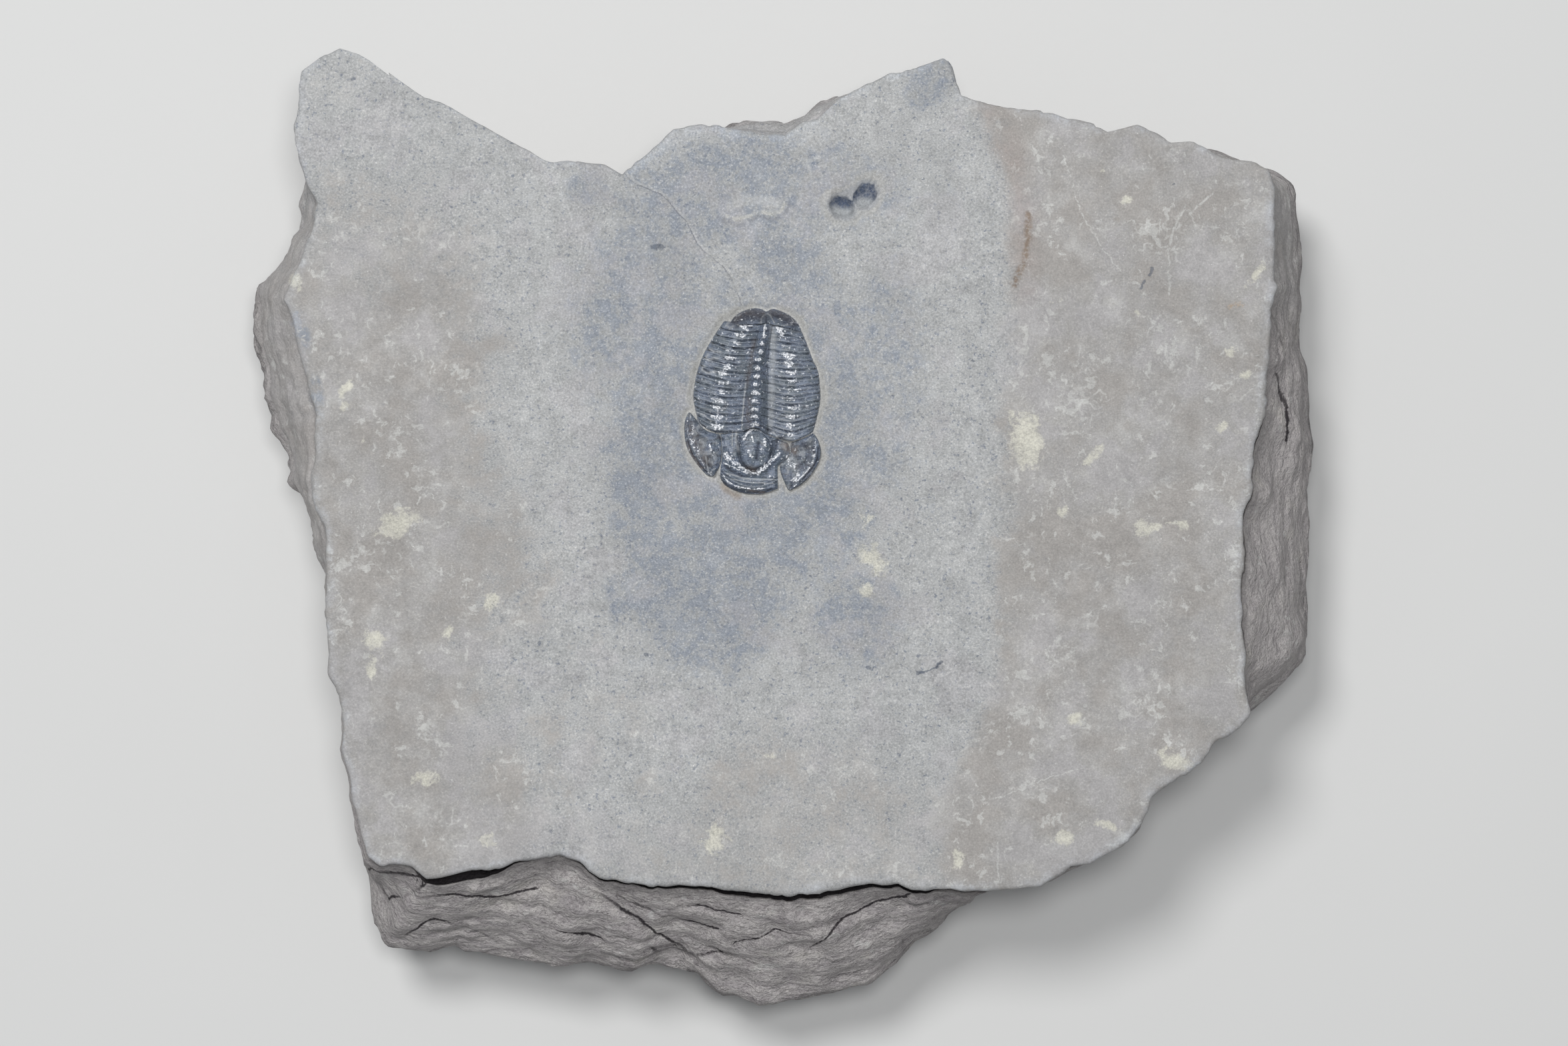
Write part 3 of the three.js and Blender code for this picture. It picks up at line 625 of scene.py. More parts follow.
def parting(across, down):
    """How open the parting under the plate's edge is, and how far the rock below stands off."""
    front = smoothstep(down, 1230, 1290)
    right = smoothstep(across, 1800, 1850) * smoothstep(down, 540, 640)
    wide = bump(across, 695, 58) * bump(down, 1310, 40) + 0.22 * bump(across, 1180, 200)
    thin = 0.36 + 0.12 * smoothstep(across, 1050, 1130)
    closed = bump(across, 822, 42) + bump(across, 600, 30)
    opened = np.clip(np.maximum(front * (1 - closed), right), 0, 1)
    return opened, 0.05 + 0.28 * right + front * (thin * (1 - closed) + 1.3 * wide)


def layer_step(layer, thickness, full, drop):
    """How far a layer stands out: it swells to full and falls back from drop on."""
    part = layer / thickness % 1
    return smoothstep(part, 0, full) - smoothstep(part, drop, 1) - 0.5


def broken_rock(place, depth, across, down):
    """How far broken shale stands out from its general slope, its crevices with the painted shade
    in them, and their middles.
    """
    forms = 0.75 * noise(place, (10, 10, 5), 41) + 0.46 * noise(place, (3.6, 3.6, 1.7), 42, 3)
    layer = depth + noise(place, (15, 15, 9), 44) + 0.3 * noise(place, (4, 4, 4), 45)
    ledges = smoothstep(noise(place, (9, 9, 3), 46), -0.25, 0.5)
    steps = 0.42 * ledges * layer_step(layer, LAMINA, 0.85, 0.85)
    seam = noise(place, (17, 17, 2.4), 47) + 0.25 * noise(place, (3, 3, 2), 48)
    open_here = smoothstep(noise(place, (8, 8, 4), 49), 0.05, 0.45)
    furrow = bump(seam, 0, 0.14) * open_here
    leftward = smoothstep(across, 560, 470) * smoothstep(down, 1100, 950)
    small_forms = 0.55 * noise(place, (2.6, 2.6, 3.2), 57, 3) + 0.3 * noise(place, 7, 58)
    forms = forms + leftward * small_forms
    steps = steps * (1 - 0.5 * leftward)
    calm = np.maximum(smoothstep(down, 1100, 1260), 0.85 - 0.3 * leftward)
    low = float(smoothstep(depth, 8, 13))
    calm = lerp(calm, 1.15, low)
    beds = smoothstep(noise(place, (14, 14, 5), 54), -0.4, 0.4)
    steps = steps + 0.95 * low * beds * layer_step(layer, BED, 0.7, 0.75)
    crevice = np.zeros_like(across)
    cleft = np.full_like(across, FAR)
    wobble = 3 * noise(place, 2, 50) + 1.5 * noise(place, 0.8, 51)
    fade = (1 - low) * lerp(0.45, 1, smoothstep(noise(place, (5, 5, 3), 52), -0.55, 0.25))
    for half_width, line in SIDE_CRACKS_PX:
        away, side = distance_to(across + wobble, down - wobble, line)
        near = bump(away, 0, 3 * half_width) * fade
        cleft = np.where(near > crevice, away * side / half_width, cleft)
        crevice = np.maximum(crevice, near)
    return calm * (forms + steps - 0.35 * furrow) - 0.35 * crevice, crevice, cleft


def side_rows(angles):
    """Reach, depth and crevices, with their painted shade, of each row of the slab's side, from its
    lip to its underside.
    """
    plate, body = reach_at(PLATE, angles), reach_at(BODY, angles)
    ray = rays(angles)
    edge = SLAB_MIDDLE + ray * plate[:, None]
    across, down = pixel_of(edge[:, 0], edge[:, 1])
    edge = at_level(edge[:, 0], edge[:, 1])
    chip = 0.2 * noise(edge, 2.6, 22) + 0.3 * np.abs(noise(edge, 1.5, 21, 2)) - 0.14
    behind = 1 - smoothstep(down, 900, 1200)
    chip += behind * np.minimum(0.35 * noise(edge, 5, 24, 2), 0)
    opened, stand_off = parting(across, down)
    none = np.zeros(len(angles))
    rows = []
    for depth, inset in LIP_ROWS:
        sag = 0.12 * noise(edge, 2.5, 23 + int(10 * depth))
        reach = plate - inset + chip * smoothstep(depth, 0, 0.4)
        # Where the parting under the lip is open, the lip's lowest rows are painted dark as shade.
        dark = opened * smoothstep(depth, 1.7, 2.4)
        rows.append((reach, depth + 0.4 * depth * sag, dark, none))
    stand_off += 0.1 * opened * noise(edge, 1.6, 26, 2)
    gap = np.minimum(stand_off, 0.5 * (body - plate))
    wall = plate + gap + chip * (body > plate)
    room = smoothstep(body - plate, 3, 7)
    back = plate + chip + np.minimum(gap, 0) * 0.5
    # The groove and trench rows under the lip are painted dark as shade as far as the parting is
    # open.
    for depth, inset, shut_depth in GROOVE_ROWS:
        rows.append((back - inset * opened, lerp(shut_depth, depth, opened), opened, none))
    trench = lerp(back - 0.9 * opened, wall - 0.12, room)
    rows.append((trench, lerp(2.87, 4.7, opened), opened, none))
    rows.append((lerp(trench, wall - 0.08, 0.8), lerp(2.98, 3.7, opened), opened, none))
    last = float(SLAB_HEIGHT)
    falls = np.concatenate([
        np.linspace(0, 1, SLOPE_ROWS, endpoint=False) ** 1.35 * SLOPE_DEPTH,
        np.linspace(SLOPE_DEPTH, last - PARTING_DEPTH - 0.15, WALL_ROWS),
    ])
    for below in falls:
        fall = min(below / SLOPE_DEPTH, 1)
        depth = PARTING_DEPTH + below
        out = 1 - (1 - fall) ** 1.7
        under = smoothstep(depth, WIDEST_DEPTH + 1, last)
        reach = lerp(wall, body, out) - 3 * under
        slope = 1.7 * (1 - fall) ** 0.7 * np.clip(body - wall, 0, None) / SLOPE_DEPTH
        tilt = np.sqrt(1 + slope**2)
        place = np.column_stack([SLAB_MIDDLE + ray * reach[:, None], none - depth])
        seen = pixel_of(place[:, 0], place[:, 1], depth)
        rough, crevice, cleft = broken_rock(place, depth, *seen)
        rough = rough * smoothstep(below, -0.3, 0.9) * smoothstep(last - depth, 0, 1.2)
        row_depth = np.clip(depth - rough * slope / tilt, PARTING_DEPTH - 0.3, last)
        rows.append((reach + rough / tilt, row_depth, crevice, cleft))
    rows.append((rows[-1][0] - 0.3, none + last, none, none + FAR))
    return rows


def stitch(first, inner_angles, start, outer_angles):
    """Triangles between an inner ring of even angles and an outer ring with its own angles."""
    faces = []
    i, j = 0, 0
    inner_total, outer_total = len(inner_angles), len(outer_angles)
    while i < inner_total or j < outer_total:
        next_inner = inner_angles[i + 1] if i + 1 < inner_total else TAU + inner_angles[0]
        next_outer = outer_angles[j + 1] if j + 1 < outer_total else TAU + outer_angles[0]
        a, c = first + i % inner_total, start + j % outer_total
        if j >= outer_total or (i < inner_total and next_inner <= next_outer):
            faces.append((a, c, first + (i + 1) % inner_total))
            i += 1
        else:
            faces.append((a, c, start + (j + 1) % outer_total))
            j += 1
    return faces


def ring_quads(first, count, rows):
    """Quads between consecutive rings of one count, anticlockwise from above."""
    faces = []
    for row in range(rows - 1):
        for i in range(count):
            a, b = first + row * count + i, first + row * count + (i + 1) % count
            faces.append((a, a + count, b + count, b))
    return faces


def fan(middle, first, count, turn):
    """Triangles from a middle vertex to a ring, anticlockwise from above where turn is one."""
    sides = [(first + i, first + (i + 1) % count) for i in range(count)]
    return [(middle, *side[::turn]) for side in sides]


def around_middle(angle, reach):
    return SLAB_MIDDLE[0] + reach * np.cos(angle), SLAB_MIDDLE[1] + reach * np.sin(angle)


def make_slab(material):
    inner_angles = (np.arange(INNER_ANGLES) + 0.5) * TAU / INNER_ANGLES
    close = np.linspace(0, FOSSIL_REACH, FOSSIL_ROWS + 1)[1:]
    beyond = np.linspace(FOSSIL_REACH, INNER_REACH, INNER_ROWS - FOSSIL_ROWS + 1)[1:]
    inner_reach = np.concatenate([close, beyond])
    angles = rim_angles()
    edge = reach_at(PLATE, angles) - EDGE_INSET
    outer_reach = outer_reaches(angles, edge)

    face_angle = np.concatenate([np.tile(inner_angles, INNER_ROWS), np.tile(angles, OUTER_ROWS)])
    face_reach = np.concatenate([np.repeat(inner_reach, INNER_ANGLES), outer_reach.ravel()])
    x, y = around_middle(face_angle, face_reach)
    extra, zones = face_detail(x, y, face_angle, face_reach)
    to_edge = reach_at(PLATE, face_angle) - face_reach
    worn = smoothstep(to_edge, 3.2, 0.6) * (0.5 + 0.5 * noise(at_level(x, y), 4, 15))
    z = SLAB_HEIGHT + face_height(x, y) + extra - 0.22 * worn
    face = np.stack([x, y, z], -1)

    rows = side_rows(angles)
    side_reach, side_depth, crevice, cleft = (np.concatenate(values) for values in zip(*rows))
    last_face = z[-RIM_ANGLES:] - SLAB_HEIGHT
    lift = np.tile(last_face, len(rows)) * (1 - smoothstep(side_depth, 0.2, 3))
    sx, sy = around_middle(np.tile(angles, len(rows)), side_reach)
    side = np.stack([sx, sy, SLAB_HEIGHT - side_depth + lift], -1)
    crack = np.where(side_depth < 2.6, np.tile(zones["crack"][-RIM_ANGLES:], len(rows)), FAR)
    patches = face_zones(sx, sy, side_depth)
    side_zones = zones_from(sx, **patches, crack=crack, crevice=crevice, cleft=cleft)

    middle = np.array([[*SLAB_MIDDLE, z[0]]])
    foot = np.array([[*SLAB_MIDDLE, 0]])
    vertices = np.vstack([middle, face, side, foot])
    attributes = {
        key: np.concatenate([values[:1], values, side_zones[key], side_zones[key][-1:]])
        for key, values in zones.items()
    }
    attributes["moat"][0] = -5
    across, down = pixel_of(sx, sy, side_depth)
    front = smoothstep(down, 1180, 1280)
    plain = np.maximum(smoothstep(across, 580, 470), smoothstep(down, 520, 360))
    low = smoothstep(side_depth, 8, 14)
    rock = smoothstep(side_depth, 0.9, 2.2) * (1 - 0.6 * plain * (1 - front) * (1 - low))
    right = smoothstep(sx, -45, -52)
    front = np.maximum(np.maximum(front, 0.8 * low), 0.5 - 0.25 * right)
    attributes["rock"] = np.concatenate([[0], np.zeros(len(face)), rock, [1]])
    attributes["front"] = np.concatenate([[0], np.zeros(len(face)), front, [0]])
    # A pale bluish band along the plate's edge, partly the worn edge's own colour and partly a
    # painted highlight. On the upper right wall it runs deeper, as painted light over the wall's
    # shading.
    rim = smoothstep(to_edge, 1.8, 0.3)
    ragged = 0.7 * noise(side, 3, 25, 2)
    painted_light_wall = smoothstep(sx, 45, 52) * smoothstep(down, 560, 480)
    side_rim = 0.8 * (1 - smoothstep(side_depth + ragged, 0.4, 1.8 + 3 * painted_light_wall))
    attributes["rim"] = np.concatenate([[0], rim, side_rim, [0]])

    outer_first = 1 + INNER_ROWS * INNER_ANGLES
    base = len(vertices) - 1
    faces = fan(0, 1, INNER_ANGLES, 1)
    faces += ring_quads(1, INNER_ANGLES, INNER_ROWS)
    faces += stitch(outer_first - INNER_ANGLES, inner_angles, outer_first, angles)
    faces += ring_quads(outer_first, RIM_ANGLES, OUTER_ROWS + len(rows))
    faces += fan(base, base - RIM_ANGLES, RIM_ANGLES, -1)
    return new_piece("matrix_rock", vertices, faces, ["matrix"], material, attributes)


# The trilobite.

# Where the shell pieces end, from the bedding face.
PIECE_FOOT = -0.58


def patch_piece(name, node, places, heights, attributes, material):
    """A thin closed shell piece from a grid of places and heights over the bedding face."""
    rows, columns = heights.shape
    top = np.dstack([places, SLAB_HEIGHT + heights]).reshape(-1, 3)
    index = np.arange(rows * columns).reshape(rows, columns)
    a, b, c, d = index[:-1, :-1], index[:-1, 1:], index[1:, :-1], index[1:, 1:]
    rim = np.concatenate([index[0, :-1], index[:-1, -1], index[-1, :0:-1], index[:0:-1, 0]])
    outline = top[rim, :2]
    anticlockwise = cross(outline, np.roll(outline, -1, axis=0)).sum() > 0
    if not anticlockwise:
        rim = rim[::-1]
        a, b, c, d = b, a, d, c
    quads = np.stack([a, b, d, c], -1).reshape(-1, 4)
    foot = top[rim]
    foot[:, 2] = SLAB_HEIGHT + PIECE_FOOT
    below = len(top) + np.arange(len(rim))
    walls = np.stack([rim, below, np.roll(below, -1), np.roll(rim, -1)], -1)
    faces = quads.tolist() + walls.tolist() + [below[::-1].tolist()]
    values = {}
    for key, field in attributes.items():
        values[key] = np.concatenate([field.ravel(), field.ravel()[rim]])
    return new_piece(name, np.vstack([top, foot]), faces, [node], material, values)


# Lines that show on the fossil: half width in pixels, strength, and the line's points.
# Where the shell's highlights fall: the shell is raised a little there, and the material paints
# glints there and makes it glossier.
HIGHLIGHT_STROKES = lines_of([
    (7.5, 0.82, 1088, 681, 1094, 687, 1101, 694),
    (1.9, 0.85, 1107, 694, 1118, 704, 1131, 710, 1137, 708),
    (1.4, 1, 1085, 694, 1097, 699, 1109, 705, 1126, 711),
    (4.6, 0.9, 1137, 708, 1147, 700, 1156, 691, 1169, 680),
    (3, 1, 1115, 659, 1121, 650, 1129, 641),
    (1.9, 1, 1085, 714, 1091, 722, 1103, 729, 1118, 732, 1132, 733, 1147, 732),
    (7.5, 0.62, 1181, 686, 1188, 694, 1194, 702),
    (4, 1, 1196, 712, 1190, 720),
    (1.5, 1, 1214, 701, 1206, 711, 1194, 722),
    (3, 0.7, 1040, 640, 1039, 650),
    (3.5, 0.7, 1064, 663, 1066, 673),
    (3.2, 0.75, 1146, 658, 1148, 670),
    (3.2, 0.7, 1122, 676, 1126, 683),
    (2.2, 1, 1127, 655, 1129, 661),
    (4, 1, 1117, 492, 1121, 494),
    (2.2, 0.8, 1110, 489, 1128, 488),
    (2.6, 1, 1147, 492, 1144, 506),
    (4.5, 1, 1166, 493, 1174, 502),
], 2)
# Dark lines on the fossil: painted shade in its furrows and seams and beside the axis.
DARK_STROKES = lines_of([
    (1.5, 1, 1072, 647, 1084, 647, 1097, 647),
    (2.2, 1, 1137, 664, 1136, 676, 1135, 689),
    (2.4, 1, 1163, 672, 1164, 662, 1168, 656, 1176, 656),
    (2.4, 1, 1079, 655, 1084, 659),
    (5, 1, 1205, 667, 1211, 671),
    (3, 1, 1219, 672, 1221, 678),
    (1.9, 1, 1081, 720, 1091, 729, 1106, 736, 1125, 739, 1147, 738, 1156, 733),
    (2.2, 1, 1110, 691, 1117, 700, 1128, 705, 1140, 700),
    (2.6, 1, 1132, 637, 1144, 640, 1155, 646),
    (2, 1, 1106, 489, 1116, 487, 1127, 491),
    (12, 0.95, 1102, 481, 1116, 474, 1131, 472, 1142, 475),
    (9.5, 0.95, 1158, 472, 1172, 477, 1190, 487),
    (3, 1, 1149, 475, 1149, 484),
    (5.5, 0.35, 1149, 492, 1147, 540, 1145, 590, 1143, 634),
    (1.6, 1, 1084, 538, 1101, 541),
    (1.6, 1, 1055, 553, 1063, 558),
    (2.4, 1, 1087, 698, 1096, 706, 1112, 714),
    (3, 1, 1058, 692, 1066, 700),
    (1.8, 1, 1031, 660, 1037, 679, 1048, 695, 1060, 708),
    (1.8, 1, 1227, 672, 1226, 688, 1218, 702, 1200, 722),
], 2)
PALE_STROKES = lines_of([
    (1.2, 1, 1141, 485, 1141, 477, 1146, 472, 1151, 470, 1156, 474, 1161, 484),
    (1.4, 1, 1112, 491, 1104, 486, 1102, 479, 1107, 473, 1116, 468),
    (1.2, 1, 1187, 487, 1190, 482, 1187, 477),
    (1, 1, 1172, 488, 1186, 487),
    (5.2, 0.7, 1159, 492, 1159, 530, 1157, 560, 1157, 600, 1156, 644),
    (2.3, 1, 1061, 532, 1058, 537, 1063, 540, 1070, 537, 1076, 538),
    (2.3, 1, 1055, 549, 1053, 554, 1059, 559, 1072, 558),
    (2.2, 1, 1093, 484, 1089, 488, 1095, 492, 1100, 489),
    (2, 1, 1064, 524, 1072, 528, 1080, 528),
    (1.1, 1, 1098.5, 647, 1098, 656, 1098, 668),
    (2, 1, 1104, 648, 1104, 660, 1107, 676),
    (1.4, 1, 1157, 647, 1162, 651, 1166, 656),
    (1.1, 1, 1058, 684, 1060, 695, 1063, 708),
    (1.1, 1, 1090, 710, 1103, 713, 1115, 717, 1126, 718, 1162, 719),
    (0.9, 1, 1096, 718, 1120, 723, 1160, 725),
    (1, 1, 1118, 576, 1115, 604, 1112, 644),
    (1.3, 1, 1044, 618, 1056, 622, 1066, 632),
    (6.5, 0.5, 1183, 690, 1192, 703, 1196, 715),
], 2)
BROWN_STROKES = lines_of([
    (8, 0.6, 1104, 477, 1120, 469, 1142, 469),
    (6, 0.5, 1156, 468, 1172, 472, 1192, 482),
    (4, 0.6, 1131, 510, 1127, 540, 1120, 580),
    (6.5, 0.6, 1122, 600, 1122, 640),
    (3, 1, 1030, 664, 1038, 684, 1052, 702),
    (8, 1, 1178, 668, 1192, 676),
    (5, 1, 1122, 702, 1130, 705),
    (9, 0.7, 1034, 640, 1046, 664, 1060, 692),
    (2, 1, 1122, 735, 1146, 738),
], 2)
STROKES = {
    "bright": HIGHLIGHT_STROKES, "deep": DARK_STROKES, "dust": PALE_STROKES, "brown": BROWN_STROKES,
}


def strokes(x, y, lines):
    """How strongly lines drawn on the fossil cover a place, from 0 to 1."""
    cover = np.zeros_like(x)
    for half_width, strength, line in lines:
        cover = np.maximum(cover, line_bump(x, y, line, half_width * MM_PER_PX) * strength)
    return cover


def shell_fields(x, y, **extra):
    """The attributes that the fossil's material reads: the strokes and a piece's own fields."""
    fields = {name: strokes(x, y, lines) for name, lines in STROKES.items()}
    for name, value in extra.items():
        fields[name] = np.clip(np.maximum(fields[name], value), 0, 1)
    return fields


def shell_relief(x, y, seed, fields):
    """Small relief of a shell's skin: its strokes and fine wrinkles, in millimetres."""
    flat = at_level(x, y, float(seed))
    wrinkles = 0.035 * noise(flat, 0.9, 52, 2) + 0.03 * noise(flat, 0.32, 53)
    return wrinkles + 0.05 * fields["bright"] + 0.06 * fields["dust"] - 0.13 * fields["deep"]


def thorax_place(guide, share):
    """A place on the thorax, by the number of its guide and its share of the way to the head."""
    shares = [share] * len(GUIDES)
    shares[AXIS_LINE] = share * (1 + AXIS_STRETCH * (1 - share**5))
    line = np.stack([at(part) for at, part in zip(GUIDES, shares)], 0)
    lower = np.minimum(np.floor(guide).astype(int), LAST_GUIDE - 1)
    row, column = np.indices(guide.shape)
    picked = [line[np.clip(lower + step, 0, LAST_GUIDE), row, column] for step in (-1, 0, 1, 2)]
    return catmull_rom(guide - lower, *picked)


def thorax_height(guide):
    """The arched axis, a furrow on each side of it, and pleurae that fall to their tips."""
    from_axis = np.abs(guide - AXIS_LINE)
    axis = 0.4 + 0.9 * np.clip(1 - from_axis**2, 0, 1) ** 0.7
    inner = lerp(0.4, 0.72, smoothstep(from_axis, 1, 2))
    fall = np.clip(np.cos((from_axis - 2) * np.pi / 2), 0, 1) ** 0.8
    outer = -0.12 + 0.84 * fall
    return np.where(from_axis < 1, axis, np.where(from_axis < 2, inner, outer))


# How many places the grid of each shell piece has across it and along it.
SEGMENT_GRID = (280, 27)
PYGIDIUM_GRID = (190, 70)
CRANIDIUM_ROWS = 200
CHEEK_GRID = (190, 100)


def even_shares(grid):
    return (np.linspace(0, 1, count) for count in grid)


def eased_shares(count):
    """Shares from zero to one that lie closer together at both ends."""
    return 0.5 - 0.5 * np.cos(np.linspace(0, np.pi, count))


def make_segment(number, material):
    across = np.linspace(0, LAST_GUIDE, SEGMENT_GRID[0])
    guide, v = np.meshgrid(across, eased_shares(SEGMENT_GRID[1]))
    from_axis = np.abs(guide - AXIS_LINE)
    tip = smoothstep(from_axis, 2.7, 3)
    squeezed = 0.42 + (v - 0.42) * (1 - 0.22 * tip)
    share = (SEGMENT_COUNT - number + lerp(SEGMENT_GAP, 1 - SEGMENT_GAP, squeezed)) / SEGMENT_COUNT
    ruffle = at_level(guide * 1.7, share * 9)
    loose = smoothstep(guide, 1.7, 0.6) * bump(share, 0.34, 0.3)
    inner = smoothstep(v, 0, 0.2) * smoothstep(1 - v, 0, 0.2)
    share = np.clip(share + 0.016 * loose * inner * noise(ruffle, 1, 51), 0, 1)
    places = thorax_place(guide, share)
    x, y = places[..., 0], places[..., 1]
    side = np.sign(guide - AXIS_LINE)
    lot = at_level(np.full_like(x, 3.7 * number), 5.3 * side)

    edge = np.abs(2 * v - 1)
    on_axis = smoothstep(from_axis, 1, 0.9)
    flat = at_level(x, y, 3 * number)
    furrow_line = 0.53 - 0.06 * (from_axis - 1) + 0.05 * noise(lot, 1, 55)
    furrow_line = furrow_line + 0.07 * noise(flat, 1.1, 59, 2)
    broken = smoothstep(noise(flat, (0.8, 0.4, 1), 60, 2), -0.5, 0.75)
    broken *= lerp(1, 0.55, smoothstep(guide, 5, 5.3))
    furrow = (1 - on_axis) * bump(v, furrow_line, 0.11)
    furrow *= 1 - 0.6 * smoothstep(from_axis, 2.5, 2.9)
    seam = smoothstep(edge, 0.6, 1)
    bead_size = 1 + 0.35 * noise(lot, 1, 56)
    bead = bead_size * on_axis * bump(guide, AXIS_LINE - 0.04, 0.42) * bump(v, 0.5, 0.32)
    ring = on_axis * bump(v, 0.5, 0.3)
    crest = (1 - on_axis) * np.maximum(bump(v, 0.25, 0.12), bump(v, 0.77, 0.12))
    shine = np.clip(0.9 + 0.45 * noise(lot, 1, 57), 0.35, 1.3)
    # Columns along the pleurae's crests and beads on the axis, where the painted highlights go.
    middle = np.where(side < 0, 2.05, 1.95) + 0.1 * noise(lot, 1, 58)
    column = bump(from_axis, middle, 0.29) * shine * lerp(0.35, 1.05, bump(v, 0.32, 0.27))
    lines_right = smoothstep(guide, 4.05, 4.3) * smoothstep(guide, 5.1, 4.9)
    smooth_right = 0.78 * bump(guide, 4.35, 0.42) * lerp(1, 0.5, smoothstep(share, 0.6, 0.8))
    calm = (1 - smooth_right) * (1 - 0.4 * bump(guide, 1.5, 0.4))
    calm = calm * (1 - 0.42 * smoothstep(from_axis, 2.2, 2.7))
    fields = shell_fields(
        x, y,
        bright=np.maximum(column, 1.2 * bead),
        deep=broken * calm * np.maximum(0.8 * seam * (1 - 0.6 * on_axis), 0.45 * furrow),
        dust=0.24 * crest * smoothstep(from_axis, 1.1, 1.6) + 0.4 * lines_right * crest * share,
    )
    height = thorax_height(guide) * lerp(0.72, 1, np.sqrt(share))
    height = height - 0.17 * seam * broken - 0.08 * furrow * broken + 0.06 * ring + 0.18 * bead
    height += 0.04 * crest - 0.12 * tip + shell_relief(x, y, number, fields)
    name = f"thoracic_segment_{number:02d}"
    return patch_piece(f"{name}_shell", name, places, height, fields, material)


def patch_places(edges_px, across, along):
    """Places on a patch between a rear and a front curve, bent by side curves where it has them."""
    rear, front = curve_through(edges_px["rear"]), curve_through(edges_px["front"])
    u, v = np.meshgrid(across, along)
    places = lerp(rear(u), front(u), v[..., None])
    for side, end in (("left", 0), ("right", 1)):
        if side in edges_px:
            straight = lerp(rear(end), front(end), v[..., None])
            bend = curve_through(edges_px[side])(v) - straight
            weight = u if end else 1 - u
            places = places + bend * weight[..., None]
    return u, v, places


PYGIDIUM_AXIS_PX = (1149, 478)


def make_pygidium(material):
    u, v, places = patch_places(PYGIDIUM_PX, *even_shares(PYGIDIUM_GRID))
    x, y = places[..., 0], places[..., 1]
    axis_x = place_of(PYGIDIUM_AXIS_PX)[0]
    margin = smoothstep(v, 0, 0.7)
    ends = smoothstep(np.minimum(u, 1 - u), 0, 0.16)
    axis = bump(x, axis_x, 0.75) * smoothstep(v, 0.12, 0.5)
    ribs = np.sin(2.6 * TAU * (v - 0.35 * np.abs(u - 0.5)))
    fields = shell_fields(
        x, y,
        deep=np.maximum(0.6 * bump(ribs, -1, 0.6) * ends * (1 - axis), 0.5 * bump(v, 0.05, 0.1)),
        bright=0.2 * margin * ends * bump(ribs, 1, 0.5),
    )
    height = -0.05 + 0.5 * margin * ends + 0.42 * axis + 0.05 * ribs * ends * (1 - axis)
    height += shell_relief(x, y, 20, fields)
    return patch_piece("pygidium_shell", "pygidium", places, height, fields, material)


ROLL_PX = pairs(
    1086, 679, 1092, 687, 1101, 695, 1112, 703, 1129, 710, 1141, 706, 1153, 696, 1162, 688,
    1170, 680,
)
OCCIPITAL_PX = pairs(1110, 663, 1115, 655, 1122, 647, 1130, 641, 1142, 643, 1154, 650)
GLABELLA_LINE_PX = pairs(
    1107, 655, 1107, 668, 1108, 682, 1112, 694, 1121, 703, 1132, 706, 1144, 701, 1153, 691,
    1159, 676, 1160, 662,
)
BORDER_FURROW_PX = pairs(1083, 706, 1092, 711, 1109, 715, 1132, 718, 1165, 719)
BORDER_CREST_PX = pairs(1082, 713, 1090, 721, 1104, 729, 1129, 733, 1150, 732, 1164, 729)
GLABELLA_PX = (1132, 674)
BORDER_TIP_PX = (1131, 740)
# Ovals: middle, half width, half height and turn.
RIGHT_LOBE_PX = (1147, 672, 9, 17, 0.1)
LEFT_LOBE_PX = (1122, 683, 13, 19, -0.15)
FIXED_CHEEK_HOLLOW_PX = (1089, 660, 9, 13, 0)


def make_cranidium(material):
    shares = lerp(np.linspace(0, 1, CRANIDIUM_ROWS), eased_shares(CRANIDIUM_ROWS), 0.3)
    u, v, places = patch_places(CRANIDIUM_PX, shares, shares)
    x, y = places[..., 0], places[..., 1]
    pixels = pixel_of(x, y)
    glabella = place_of(GLABELLA_PX)
    length = np.where(y < glabella[1], 2.5, 2.2)
    q = np.hypot((x - glabella[0]) / 1.95, (y - glabella[1]) / length)
    dome = np.sqrt(np.clip(1 - q * q, 0, 1))
    lobe, left_lobe = (
        np.sqrt(np.clip(spot_field(*pixels, *oval), 0, 1)) for oval in (RIGHT_LOBE_PX, LEFT_LOBE_PX)
    )
    roll = line_bump(x, y, ROLL_PX, 0.4)
    occipital = line_bump(x, y, OCCIPITAL_PX, 0.3)
    glabella_line = line_bump(x, y, GLABELLA_LINE_PX, 0.2)
    furrow = line_bump(x, y, BORDER_FURROW_PX, 0.16)
    crest = line_bump(x, y, BORDER_CREST_PX, 0.26)
    tip = place_of(BORDER_TIP_PX)
    inside = y - tip[1] - 0.106 * (x - tip[0]) ** 2
    terraces = np.sin(TAU * inside / 0.38) * bump(inside, 0.85, 0.6)
    hollow = np.clip(spot_field(*pixels, *FIXED_CHEEK_HOLLOW_PX) * 2, 0, 1)

    edge = np.minimum(np.minimum(u, 1 - u), np.minimum(v, 1 - v))
    fields = shell_fields(
        x, y,
        bright=np.maximum(0.5 * roll, 0.2 * lobe),
        deep=np.maximum(0.7 * glabella_line, 0.45 * bump(terraces, -1, 0.5) * (inside < 1.4)),
        dust=0.35 * bump(terraces, 1, 0.4) * (inside < 1.4),
    )
    height = 0.32 + 0.72 * dome + 0.15 * lobe + 0.14 * left_lobe - 0.22 * glabella_line
    height += 0.34 * roll + 0.36 * occipital - 0.14 * furrow + 0.28 * crest
    height += 0.04 * terraces - 0.16 * hollow + shell_relief(x, y, 21, fields)
    height *= lerp(0.5, 1, smoothstep(edge, 0, 0.05))
    return patch_piece("cranidium_shell", "cranidium", places, height, fields, material)


